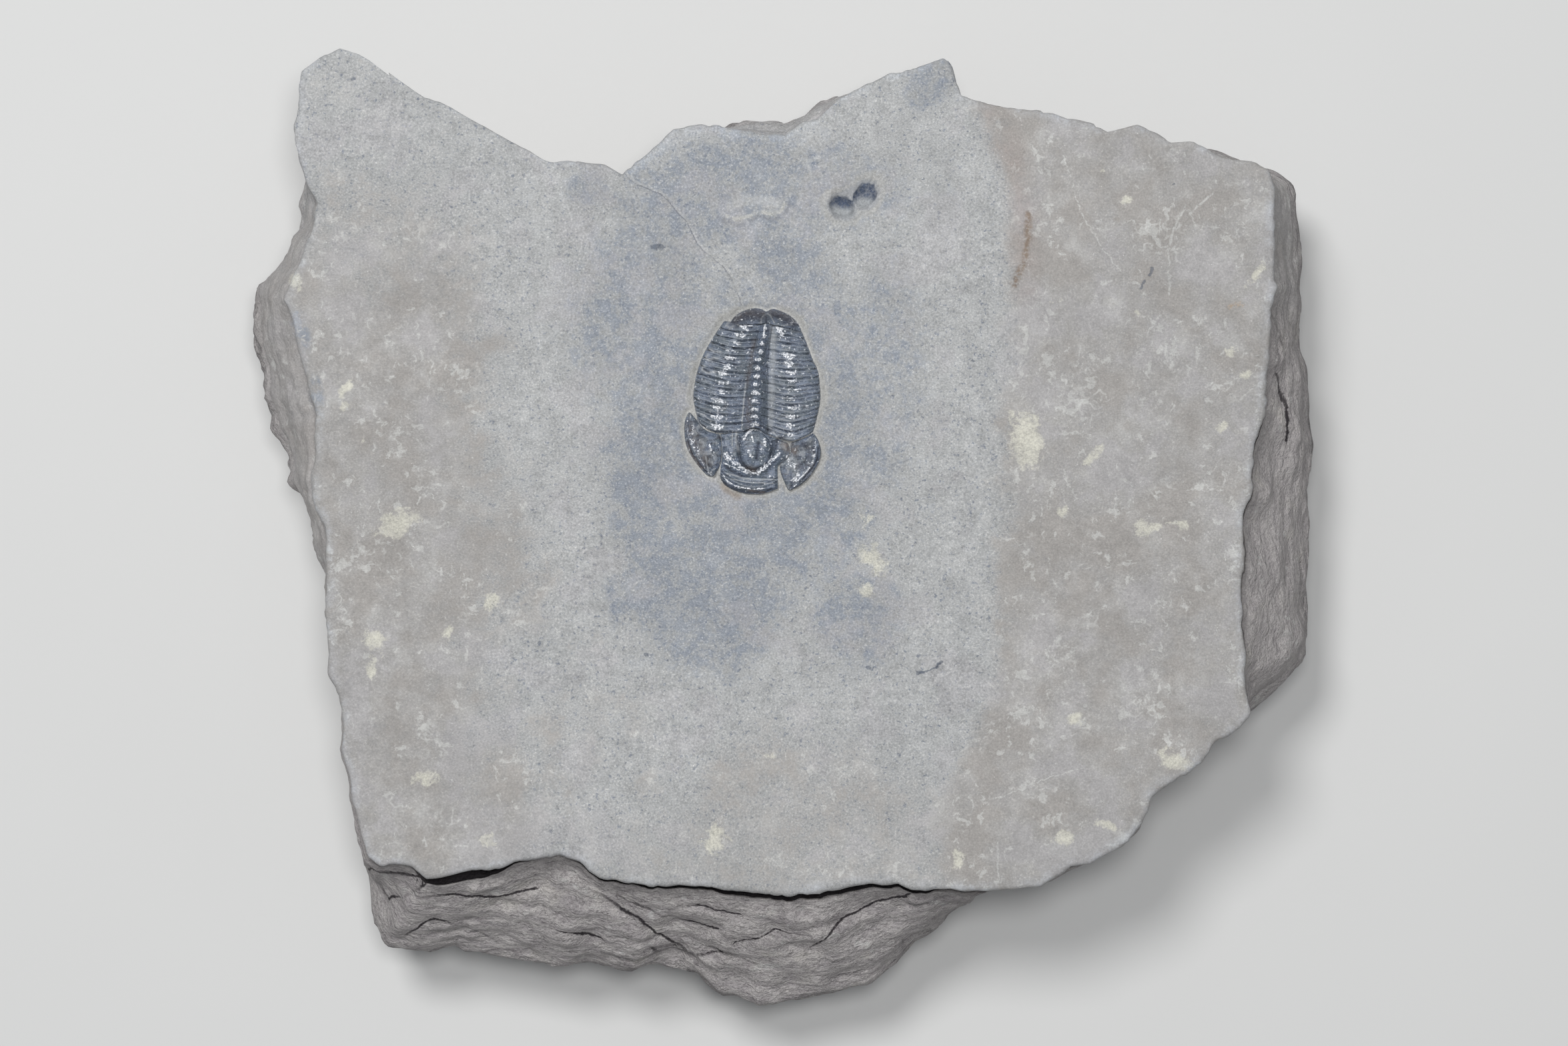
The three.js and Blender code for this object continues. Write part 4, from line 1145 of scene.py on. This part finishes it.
def make_cheek(name, edges_px, hollow_px, material):
    u, v, places = patch_places(edges_px, *even_shares(CHEEK_GRID))
    x, y = places[..., 0], places[..., 1]
    flat = at_level(x, y, 5)
    size = smoothstep(u, 0, 0.35) * (1 - 0.6 * smoothstep(u, 0.88, 1))
    edge = np.minimum(v, 1 - v)
    hollow = np.clip(spot_field(*pixel_of(x, y), *hollow_px), 0, 1)
    blotches = smoothstep(noise(flat, 0.62, 83, 2), 0.1, 0.6)
    dark_blotches = smoothstep(noise(flat, 0.55, 85, 2), 0.2, 0.7)
    fields = shell_fields(
        x, y,
        deep=np.maximum(0.4 * bump(v, 0.33, 0.08), 0.45 * dark_blotches),
        dust=0.5 * blotches,
        brown=0.25 * smoothstep(noise(flat, 1.2, 84), 0.1, 0.7),
        bright=0.5 * bump(v, 0.2, 0.1),
    )
    border_and_cheek = 0.12 + 0.28 * bump(v, 0.16, 0.12) + 0.5 * bump(v, 0.66, 0.26)
    height = 0.04 + border_and_cheek * lerp(0.4, 1, size)
    height += 0.07 * noise(flat, 1.1, 81, 2) + 0.05 * noise(flat, 0.5, 82, 2) - 0.25 * hollow
    height += shell_relief(x, y, 22, fields) - 0.1 * (1 - smoothstep(edge, 0, 0.05))
    return patch_piece(f"{name}_shell", name, places, height, fields, material)


# Each free cheek's name, its edges and the oval of its hollow.
FREE_CHEEKS = [
    ("left_free_cheek", LEFT_CHEEK_PX, (1046, 664, 16, 14, 0)),
    ("right_free_cheek", RIGHT_CHEEK_PX, (1212, 669, 16, 14, 0)),
]


# Materials.


def linear(red, green, blue):
    """A screen colour from 0 to 255 as the linear colour that a shader takes."""
    share = np.array([red, green, blue]) / 255
    value = np.where(share <= 0.04045, share / 12.92, ((share + 0.055) / 1.055) ** 2.4)
    return (*value.tolist(), 1)


class Graph:
    """Short names for the nodes of one material."""

    def __init__(self, name):
        self.material = bpy.data.materials.new(name)
        self.material.use_nodes = True
        self.tree = self.material.node_tree
        self.tree.nodes.clear()

    def add(self, kind, inputs, output=0, **settings):
        node = self.tree.nodes.new("ShaderNode" + kind)
        for key, value in settings.items():
            setattr(node, key, value)
        for slot, value in inputs.items():
            if isinstance(value, bpy.types.NodeSocket):
                self.tree.links.new(value, node.inputs[slot])
            else:
                node.inputs[slot].default_value = value
        return node.outputs[output] if node.outputs else node

    def attribute(self, name):
        return self.add("Attribute", {}, 2, attribute_name=name)

    def math(self, operation, a, b=0, c=0):
        return self.add("Math", {0: a, 1: b, 2: c}, operation=operation)

    def product(self, *values):
        result = values[0]
        for value in values[1:]:
            result = self.math("MULTIPLY", result, value)
        return result

    def fit(self, value, factor, start):
        return self.math("MULTIPLY_ADD", value, factor, start)

    def apart(self, a, b):
        """How far apart two values are."""
        return self.math("ABSOLUTE", self.math("SUBTRACT", a, b))

    def vector(self, operation, a, b=(0, 0, 0), c=(0, 0, 0), output=0):
        return self.add("VectorMath", {0: a, 1: b, 2: c}, output, operation=operation)

    def scaled(self, vector, factor):
        return self.add("VectorMath", {0: vector, "Scale": factor}, operation="SCALE")

    def noise(self, where, cell_mm, detail=2, roughness=0.5, output=0, stretch=None):
        """Noise with features of a size, squeezed along each axis by its stretch."""
        if stretch:
            where = self.vector("MULTIPLY", where, stretch)
        scale = 1 / (cell_mm * MM)
        inputs = {"Vector": where, "Scale": scale, "Detail": detail, "Roughness": roughness}
        return self.add("TexNoise", inputs, output)

    def remap(self, value, low, high, start=0, end=1):
        inputs = {0: value, 1: low, 2: high, 3: start, 4: end}
        return self.add("MapRange", inputs, interpolation_type="SMOOTHSTEP")

    def mix(self, share, a, b):
        return self.add("Mix", {0: share, 6: a, 7: b}, 2, data_type="RGBA")

    def coat(self, colour, shade, *shares):
        """A colour under a shade that covers it as far as the product of the shares."""
        return self.mix(self.product(*shares), colour, shade)

    def line_marks(self, where, line_px, half_width):
        """How near a place is to a line: zero on it, and one at its half width."""
        points = place_of(line_px) * MM
        nearest = None
        for a, b in zip(points[:-1], points[1:]):
            along = b - a
            from_a = self.vector("SUBTRACT", where, (*a, 0))
            unit = along / (along @ along)
            share = self.vector("DOT_PRODUCT", from_a, (*unit, 0), output=1)
            share = self.add("Clamp", {0: share})
            off = self.vector("SUBTRACT", from_a, self.scaled((*along, 0), share))
            away = self.vector("LENGTH", off, output=1)
            nearest = away if nearest is None else self.math("MINIMUM", nearest, away)
        return self.math("DIVIDE", nearest, half_width * MM)

    def draw(self, colour, shade, where, lines, limits, broken_by=()):
        """A colour with lines drawn on it, which a noise breaks up where one is given."""
        for half_width, line in lines:
            shares = [self.remap(self.line_marks(where, line, half_width), *limits)]
            if broken_by:
                shares.append(self.remap(*broken_by))
            colour = self.coat(colour, shade, *shares)
        return colour

    def relief(self, height, strength=1):
        inputs = {"Strength": strength, "Distance": 1, "Height": height}
        return self.add("Bump", inputs)

    def finish(self, colour, roughness, normal, specular=None):
        inputs = {"Base Color": colour, "Roughness": roughness, "Normal": normal}
        if specular is not None:
            inputs["Specular IOR Level"] = specular
        surface = self.add("BsdfPrincipled", inputs)
        self.add("OutputMaterial", {0: surface})
        return self.material


ABRADED = linear(175, 176, 176)
WARM = linear(167, 165, 163)
HALO = linear(140, 145, 153)
BLUE_GRAIN = linear(118, 125, 139)
CREAM_GRAIN = linear(204, 202, 196)
PALE_PATCH = linear(186, 186, 184)
BROWNISH = linear(160, 156, 152)
LILAC = linear(176, 174, 176)
CREAM = linear(205, 203, 191)
PALE_VEIN = linear(197, 197, 194)
BROWN_TINT = linear(156, 143, 138)
BROWN_STREAK = linear(130, 112, 96)
ORANGE_DOT = linear(186, 162, 134)
DARK_MARK = linear(84, 92, 106)
ARC_PALE = linear(190, 189, 184)
ARC_PAINTED_SHADOW = linear(134, 136, 143)
PIT = linear(72, 82, 101)
PIT_FLOOR = linear(158, 161, 163)
PIT_BASIN = linear(146, 149, 154)
MOAT = linear(179, 178, 174)
CONTACT = linear(190, 190, 186)
BETWEEN_PLATES = linear(120, 124, 130)
STAIN = linear(140, 127, 114)
RIM = linear(184, 189, 196)
ROCK = linear(181, 177, 175)
ROCK_DEEP = linear(156, 151, 152)
ROCK_PALE = linear(188, 184, 177)
ROCK_FOLD_SHADE = linear(98, 92, 94)
ROCK_SEAM = linear(74, 68, 72)
CREVICE_SHADE = linear(36, 31, 36)
CRACK_PALE = linear(196, 196, 194)
CRACK_DARK = linear(104, 106, 114)

# Lines drawn on the bedding face, each with its half width in millimetres first.
PALE_VEINS_PX = lines_of([
    (0.2, 1776, 308, 1758, 346, 1751, 380, 1752, 440),
    (0.13, 1595, 234, 1621, 320, 1649, 366, 1680, 407),
    (0.22, 1818, 290, 1784, 321),
    (0.15, 1743, 470, 1722, 498),
    (0.3, 1749, 512, 1746, 545),
    (0.4, 1760, 512, 1757, 550),
    (0.16, 1496, 1262, 1496, 1321),
    (0.12, 1625, 1150, 1560, 1170, 1490, 1200),
    (0.12, 1620, 520, 1606, 580),
])
FAINT_LINES_PX = lines_of([
    (0.1, 1228, 635, 1250, 650, 1262, 668, 1290, 660, 1305, 635),
    (1.1, 1098, 308, 1112, 300, 1140, 302, 1160, 305),
    (0.5, 1215, 262, 1212, 240, 1226, 236),
])
DARK_MARKS_PX = lines_of([
    (0.16, 1379, 1009, 1386, 1006, 1403, 1000, 1409, 996),
    (0.3, 1376, 1009, 1384, 1008),
    (0.32, 1405, 998, 1411, 995),
    (0.42, 980, 371, 992, 371),
    (0.3, 967, 982, 969, 982),
    (0.28, 1301, 1000, 1304, 1000),
    (0.25, 529, 118, 531, 118),
    (0.26, 1728, 401, 1724, 411),
    (0.26, 1716, 419, 1710, 430),
    (0.14, 1760, 278, 1761, 278),
    (0.16, 1459, 540, 1460, 541),
])
BROWN_TINT_PX = lines_of([(3, 1492, 170, 1520, 250, 1536, 330, 1536, 430)])
BROWN_STREAK_PX = lines_of([(0.62, 1541, 321, 1541, 362, 1536, 388, 1520, 428)])
ORANGE_DOTS_PX = lines_of([(0.4, 1674, 330, 1676, 330), (0.5, 1845, 460, 1860, 456)])
STAIN_PX = lines_of([(0.75, 1086, 730, 1096, 738, 1108, 744)])

# How far the marks' edges stray, flat on the face and through the rock.
MARK_STRAY = 1.1 * MM
FLECK_STRAY = 1.8 * MM
# The dark seams low in the side faces: how far apart they are, and the heights where they fade in.
SEAM_SPACING = 3.1 * MM
SEAM_HEIGHTS = (17 * MM, 12 * MM)
# How far apart the painted glints on the stone are.
GLINT_SPACING = 1.7 * MM


def shale_material():
    g = Graph("shale")
    here = g.add("TexCoord", {}, 3)
    flat = g.vector("MULTIPLY", here, (1, 1, 0))
    scatter = g.noise(here, 1.3, 3, 0.6, output=1)
    scatter = g.vector("SUBTRACT", scatter, (0.5, 0.5, 0.5))
    ragged = g.vector("MULTIPLY_ADD", scatter, (MARK_STRAY, MARK_STRAY, 0), flat)

    fine = g.noise(here, 0.24, 3, 0.7)
    grain = g.noise(here, 1.7, 5, 0.8)
    speck = g.noise(here, 0.5, 3, 0.7)
    cloud = g.noise(here, 4.5, 4, 0.6)
    broad = g.noise(here, 16, 2, 0.5)
    bedding = g.noise(here, 2.6, 5, 0.65, stretch=(1, 1, 5))
    ragged_edge = g.fit(grain, 2.6, -1.3)

    # The face: its abraded, weathered and blue-grey parts.
    warm = g.math("ADD", g.attribute("warm"), g.fit(cloud, 0.6, -0.3))
    warm = g.remap(g.fit(ragged_edge, 0.5, warm), 0.2, 0.8)
    halo = g.math("ADD", g.attribute("halo"), g.fit(cloud, 0.8, -0.41))
    halo = g.remap(g.math("ADD", halo, ragged_edge), -0.05, 0.95)
    halo_edge = g.remap(g.attribute("halo"), 0, 0.45)
    halo = g.product(halo, halo_edge, g.remap(grain, 0.42, 0.58, 0.5, 1.2))
    rock = g.attribute("rock")
    rim = g.attribute("rim")
    moat = g.attribute("moat")
    colour = g.mix(warm, ABRADED, WARM)
    colour = g.mix(halo, colour, HALO)
    for shade, source, limits, shares in (
        (BLUE_GRAIN, speck, (0.56, 0.68), (0.74, 0.14)),
        (CREAM_GRAIN, fine, (0.56, 0.72), (0.5, 0.3)),
        (PALE_PATCH, cloud, (0.52, 0.72), (0.25, 0.4)),
    ):
        colour = g.coat(colour, shade, g.remap(source, *limits), g.remap(warm, 0, 1, *shares))
    tones = g.noise(here, 7, 3, 0.6)
    colour = g.coat(colour, BROWNISH, g.remap(tones, 0.46, 0.62, 0, 0.7), warm)
    colour = g.coat(colour, LILAC, g.remap(tones, 0.48, 0.38, 0, 0.4))

    # Pale flecks and short worm-like marks.
    bent = g.vector("MULTIPLY_ADD", scatter, (FLECK_STRAY, FLECK_STRAY, 0), here)
    fleck_share = g.remap(warm, 0, 0.8, 0.1, 0.66)
    for stretch, cell, spread in (((1, 0.5, 1), 1, 8.5), ((0.6, 1, 1), 1.35, 6.5)):
        fleck = g.noise(bent, cell, 4, 0.62, stretch=stretch)
        where = g.remap(g.noise(here, spread, 3, 0.6), 0.36, 0.66, -0.09, 0.03)
        fleck = g.remap(g.math("ADD", fleck, where), 0.592, 0.645)
        colour = g.coat(colour, PALE_VEIN, fleck, fleck_share)
    worm = g.apart(g.noise(here, 2.6, 2, 0.5), 0.5)
    worm_where = g.remap(g.noise(here, 6.5, 2, 0.5), 0.54, 0.66)
    worm = g.product(g.remap(worm, 0.035, 0.012), worm_where, g.remap(grain, 0.42, 0.56), warm)
    colour = g.coat(colour, PALE_VEIN, worm, 0.55)

    cream = g.fit(g.noise(bent, 1.6, 5, 0.7), 2.4, g.attribute("cream"))
    cream_share = g.product(g.remap(cream, 1.4, 1.9, 0.5, 1), g.remap(fine, 0.3, 0.6, 0.7, 1))
    colour = g.coat(colour, CREAM, g.remap(cream, 1.36, 1.54), cream_share)

    speckled = (speck, 0.36, 0.56)
    for shade, where, lines, limits, broken_by in (
        (PALE_VEIN, ragged, PALE_VEINS_PX, (1, 0.3, 0, 0.75), speckled),
        (PALE_VEIN, ragged, FAINT_LINES_PX, (1, 0.2, 0, 0.35), ()),
        (BROWN_TINT, flat, BROWN_TINT_PX, (1, 0), (cloud, 0.3, 0.6, 0.1, 0.45)),
        (BROWN_STREAK, ragged, BROWN_STREAK_PX, (1.1, 0.1, 0, 0.75), (*speckled, 0.15, 1)),
        (ORANGE_DOT, ragged, ORANGE_DOTS_PX, (1, 0.1, 0, 0.6), (speck, 0.45, 0.6, 0.1, 1)),
        (DARK_MARK, ragged, DARK_MARKS_PX, (1, 0.5, 0, 0.6), ()),
    ):
        colour = g.draw(colour, shade, where, lines, limits, broken_by)

    # The small ridge, the two pits, and the rock round and between the fossil's pieces.
    arc = g.attribute("arc")
    colour = g.coat(colour, ARC_PALE, g.remap(arc, 0.1, 0.8, 0, 0.7))
    # A painted shadow along the ridge's lower side.
    colour = g.coat(colour, ARC_PAINTED_SHADOW, g.remap(arc, -0.1, -0.7, 0, 0.55))
    pit = g.attribute("pit")
    colour = g.coat(colour, MOAT, g.remap(pit, -0.95, -0.6, 0, 0.55))
    colour = g.coat(colour, PIT_BASIN, g.remap(pit, -0.35, -0.1, 0, 0.6))
    pit_share = g.product(g.remap(pit, -0.05, 0.12), g.remap(speck, 0.35, 0.62, 1, 0.6))
    # The pits' walls: painted shade on their upper side, painted light on their lower side.
    pit_colour = g.mix(g.remap(g.attribute("sunny"), -0.15, 0.5), PIT, PIT_FLOOR)
    colour = g.mix(pit_share, colour, pit_colour)
    moat_edge = g.math("ADD", moat, g.fit(cloud, 2.2, -1.1))
    colour = g.coat(colour, MOAT, g.remap(moat_edge, 1, 0.25, 0, 0.8))
    contact = g.remap(moat, 0.3, 0.1)
    colour = g.coat(colour, CONTACT, contact, g.remap(cloud, 0.42, 0.6, 0, 0.5))
    colour = g.coat(colour, BETWEEN_PLATES, g.remap(moat, 0.06, -0.02))
    colour = g.draw(colour, STAIN, ragged, STAIN_PX, (1, 0.1, 0, 0.6))
    # The pale band along the edge: partly worn colour, partly painted highlight.
    rim = g.product(rim, g.remap(cloud, 0.35, 0.65, 0, 0.6), g.remap(grain, 0.42, 0.58, 0.3, 1))
    colour = g.mix(rim, colour, RIM)

    # The broken rock of the side faces.
    front = g.remap(g.attribute("front"), 0, 1, 0.22, 1)
    layers = g.math("SUBTRACT", g.remap(bedding, 0.3, 0.7), 0.6)
    side = g.mix(g.fit(layers, front, 0.6), ROCK_DEEP, ROCK)
    side = g.coat(side, ROCK_PALE, g.remap(cloud, 0.55, 0.75, 0, 0.5))
    side = g.coat(side, CREAM_GRAIN, g.remap(fine, 0.6, 0.74, 0, 0.35))
    side = g.coat(side, PALE_VEIN, fleck, 0.45)
    crinkle = g.noise(here, 1.3, 4, 0.65, stretch=(0.6, 1, 3))
    # Thin dark lines along the crinkles: painted shade.
    fold_shade = g.remap(g.apart(crinkle, 0.5), 0.035, 0)
    side = g.coat(side, ROCK_FOLD_SHADE, fold_shade, front, 0.5)
    # Painted shade: near-black in the side faces' clefts and in the open parting under the lip.
    cleft = g.fit(g.math("SUBTRACT", speck, 0.5), 2, g.attribute("cleft"))
    cleft = g.remap(g.math("ABSOLUTE", cleft), 1, 0.3)
    side = g.coat(side, CREVICE_SHADE, cleft, g.remap(g.attribute("crevice"), 0.2, 0.9, 0, 0.95))
    level = g.vector("DOT_PRODUCT", here, (0, 0, 1 / SEAM_SPACING), output=1)
    level = g.fit(g.noise(here, 17, 4, 0.55), 2.6, level)
    seam = g.remap(g.math("PINGPONG", level, 0.5), 0.05, 0.008)
    seam_where = g.remap(g.noise(here, 9, 3, 0.6), 0.5, 0.6, 0, 0.8)
    low = g.remap(g.add("SeparateXYZ", {0: here}, 2), *SEAM_HEIGHTS)
    side = g.coat(side, ROCK_SEAM, seam, seam_where, low)
    colour = g.mix(rock, colour, side)

    # The crack across the face: a dark line of painted shade, and the pale edge beside it, partly
    # its own pale colour and partly painted light.
    crack = g.math("ADD", g.attribute("crack"), g.fit(grain, 0.6, -0.3))
    dark_line = g.remap(g.math("ABSOLUTE", g.math("ADD", crack, 0.06)), 0.11, 0.03, 0, 0.6)
    dark_line = g.product(dark_line, g.remap(cloud, 0.4, 0.58, 0.2, 1))
    pale_line = g.remap(g.apart(crack, 0.14), 0.24, 0.04, 0, 0.4)
    colour = g.coat(colour, CRACK_PALE, pale_line, g.remap(grain, 0.4, 0.56, 0.2, 1))
    colour = g.mix(dark_line, colour, CRACK_DARK)

    brightness = 1
    for source, face_share, weathered_share in ((grain, 1, 0.6), (fine, 1.25, 0.8)):
        unevenness = g.math("SUBTRACT", source, 0.5)
        share = g.remap(warm, 0, 1, face_share, weathered_share)
        brightness = g.fit(unevenness, share, brightness)
    for source, *limits in ((cloud, 0.25, 0.75, 0.94, 1.06), (broad, 0.3, 0.7, 0.97, 1.03)):
        brightness = g.product(brightness, g.remap(source, *limits))
    # Small painted glints scattered over the stone.
    glint = g.add("TexVoronoi", {"Vector": here, "Scale": 1 / GLINT_SPACING}, 0)
    brightness = g.math("ADD", brightness, g.remap(glint, 0.055, 0.03, 0, 0.5))
    colour = g.scaled(colour, brightness)

    face_relief = g.fit(fine, 0.02 * MM, g.product(grain, 0.03 * MM))
    height = g.product(bedding, front, 0.45 * MM)
    height = g.fit(crinkle, 0.4 * MM, height)
    height = g.fit(speck, 0.24 * MM, height)
    height = g.fit(rock, height, face_relief)
    height = g.fit(cloud, 0.1 * MM, height)
    normal = g.relief(height)
    return g.finish(colour, g.remap(grain, 0.3, 0.7, 0.82, 0.96), normal, 0.3)


SLATE = linear(94, 104, 114)
SLATE_BLUE = linear(105, 116, 134)
SLATE_DEEP = linear(46, 50, 62)
FOSSIL_DUST = linear(172, 175, 178)
FOSSIL_BROWN = linear(114, 106, 103)
FOSSIL_DEEP_BROWN = linear(58, 48, 44)
FOSSIL_FILM_AND_SPARKLE = linear(158, 166, 177)
# The white of the glints painted on the shell.
PAINTED_GLINT = linear(242, 244, 248)


def fossil_material():
    g = Graph("fossil")
    here = g.add("TexCoord", {}, 3)
    fine = g.noise(here, 0.2, 3, 0.7)
    speck = g.noise(here, 0.45, 3, 0.65)
    patch = g.noise(here, 1.3, 2, 0.5)
    streaks = g.noise(here, 0.3, 3, 0.6, stretch=(0.35, 1.7, 1))
    bright = g.attribute("bright")
    deep = g.attribute("deep")

    colour = g.mix(g.remap(patch, 0.35, 0.65), SLATE, SLATE_BLUE)
    colour = g.coat(colour, SLATE_DEEP, g.remap(streaks, 0.54, 0.38, 0, 0.6))
    brown = g.product(g.attribute("brown"), g.remap(speck, 0.35, 0.6, 0.4, 0.9))
    colour = g.mix(brown, colour, FOSSIL_BROWN)
    dust = g.product(g.attribute("dust"), g.remap(speck, 0.3, 0.6, 0.45, 1))
    colour = g.mix(dust, colour, FOSSIL_DUST)
    # Painted shade where the shell dips, in seams, furrows and beside the axis, brown-black where
    # the shell is brown; on the cheeks the same mark also lays dark blotches of the shell's own
    # colour.
    dark = g.product(deep, g.remap(speck, 0.3, 0.65, 1, 0.6))
    colour = g.mix(dark, colour, g.mix(brown, SLATE_DEEP, FOSSIL_DEEP_BROWN))
    # A pale film over the shell, partly dust and partly painted sparkle, thinner in the seams and
    # furrows.
    film_and_sparkle = g.product(g.remap(fine, 0.52, 0.66), g.remap(patch, 0.3, 0.6, 0.3, 0.6))
    colour = g.coat(colour, FOSSIL_FILM_AND_SPARKLE, film_and_sparkle, g.remap(deep, 0, 1, 1, 0.3))
    # White flecks are painted glints: dense where the shell's highlights fall, sparse elsewhere and
    # fewer in the seams and furrows.
    cells = g.noise(here, 0.4, 2, 0.55)
    lit = g.remap(g.fit(cells, 2.2, bright), 1.58, 2)
    lit = g.product(lit, g.remap(fine, 0.42, 0.57, 0.22, 1))
    stray = g.product(g.remap(cells, 0.62, 0.72), g.remap(deep, 0, 1, 0.6, 0.2))
    colour = g.mix(g.math("MAXIMUM", lit, stray), colour, PAINTED_GLINT)

    roughness = g.remap(bright, 0, 1, 0.42, 0.2)
    roughness = g.math("ADD", roughness, g.remap(speck, 0.3, 0.7, -0.06, 0.12))
    roughness = g.fit(dust, 0.3, roughness)
    height = g.product(fine, 0.03 * MM)
    height = g.fit(speck, 0.06 * MM, height)
    height = g.fit(streaks, 0.025 * MM, height)
    normal = g.relief(height)
    return g.finish(colour, g.fit(deep, 0.5, roughness), normal, 0.55)


FLOOR_HALF_WIDTH = 1.5
FLOOR_GREYS = (0.70, 0.70, 0.69, 1), (0.73, 0.73, 0.72, 1)
FLOOR_ROUGHNESS = 0.9
SKY = (0.93, 0.96, 1, 1)
SKY_STRENGTH = 0.22


def floor_material():
    g = Graph("studio_floor")
    here = g.add("TexCoord", {}, 3)
    soft = g.noise(here, 60, 3, 0.5)
    colour = g.mix(soft, *FLOOR_GREYS)
    return g.finish(colour, FLOOR_ROUGHNESS, g.relief(g.product(soft, 0.1 * MM), 0.3))


# The studio.


def make_floor():
    half = FLOOR_HALF_WIDTH
    corners = [(-half, -half, 0), (half, -half, 0), (half, half, 0), (-half, half, 0)]
    mesh = bpy.data.meshes.new("studio_floor")
    mesh.from_pydata(corners, [], [(0, 1, 2, 3)])
    mesh.materials.append(floor_material())
    linked("studio_floor", mesh)


def make_camera():
    camera = bpy.data.cameras.new("camera")
    camera.sensor_width = SENSOR_WIDTH
    camera.lens = SENSOR_WIDTH * VIEW_HEIGHT / (IMAGE_WIDTH_PX * MM_PER_PX)
    camera.clip_start = 0.01
    holder = linked("camera", camera)
    holder.location = (VIEW_CENTRE[0] * MM, VIEW_CENTRE[1] * MM, (SLAB_HEIGHT + VIEW_HEIGHT) * MM)
    bpy.context.scene.camera = holder


def make_light(name, location, size, power):
    light = bpy.data.lights.new(name, "AREA")
    light.shape = "DISK"
    light.size = size
    light.energy = power
    holder = linked(name, light)
    holder.location = location
    aim = -holder.location
    holder.rotation_euler = aim.to_track_quat("-Z", "Y").to_euler()


def make_studio():
    make_floor()
    make_camera()
    make_light("key", location=(-0.22, 0.34, 0.80), size=0.26, power=3.95)
    make_light("near_lens", location=(0.02, 0.05, 0.62), size=0.13, power=1.3)
    world = bpy.data.worlds.new("studio")
    world.use_nodes = True
    background = world.node_tree.nodes["Background"]
    background.inputs["Color"].default_value = SKY
    background.inputs["Strength"].default_value = SKY_STRENGTH
    bpy.context.scene.world = world
    bpy.context.scene.view_settings.view_transform = "Standard"


shale = shale_material()
fossil = fossil_material()
make_slab(shale)
make_pygidium(fossil)
for segment in range(1, SEGMENT_COUNT + 1):
    make_segment(segment, fossil)
make_cranidium(fossil)
for name, edges_px, hollow_px in FREE_CHEEKS:
    make_cheek(name, edges_px, hollow_px, fossil)
make_studio()
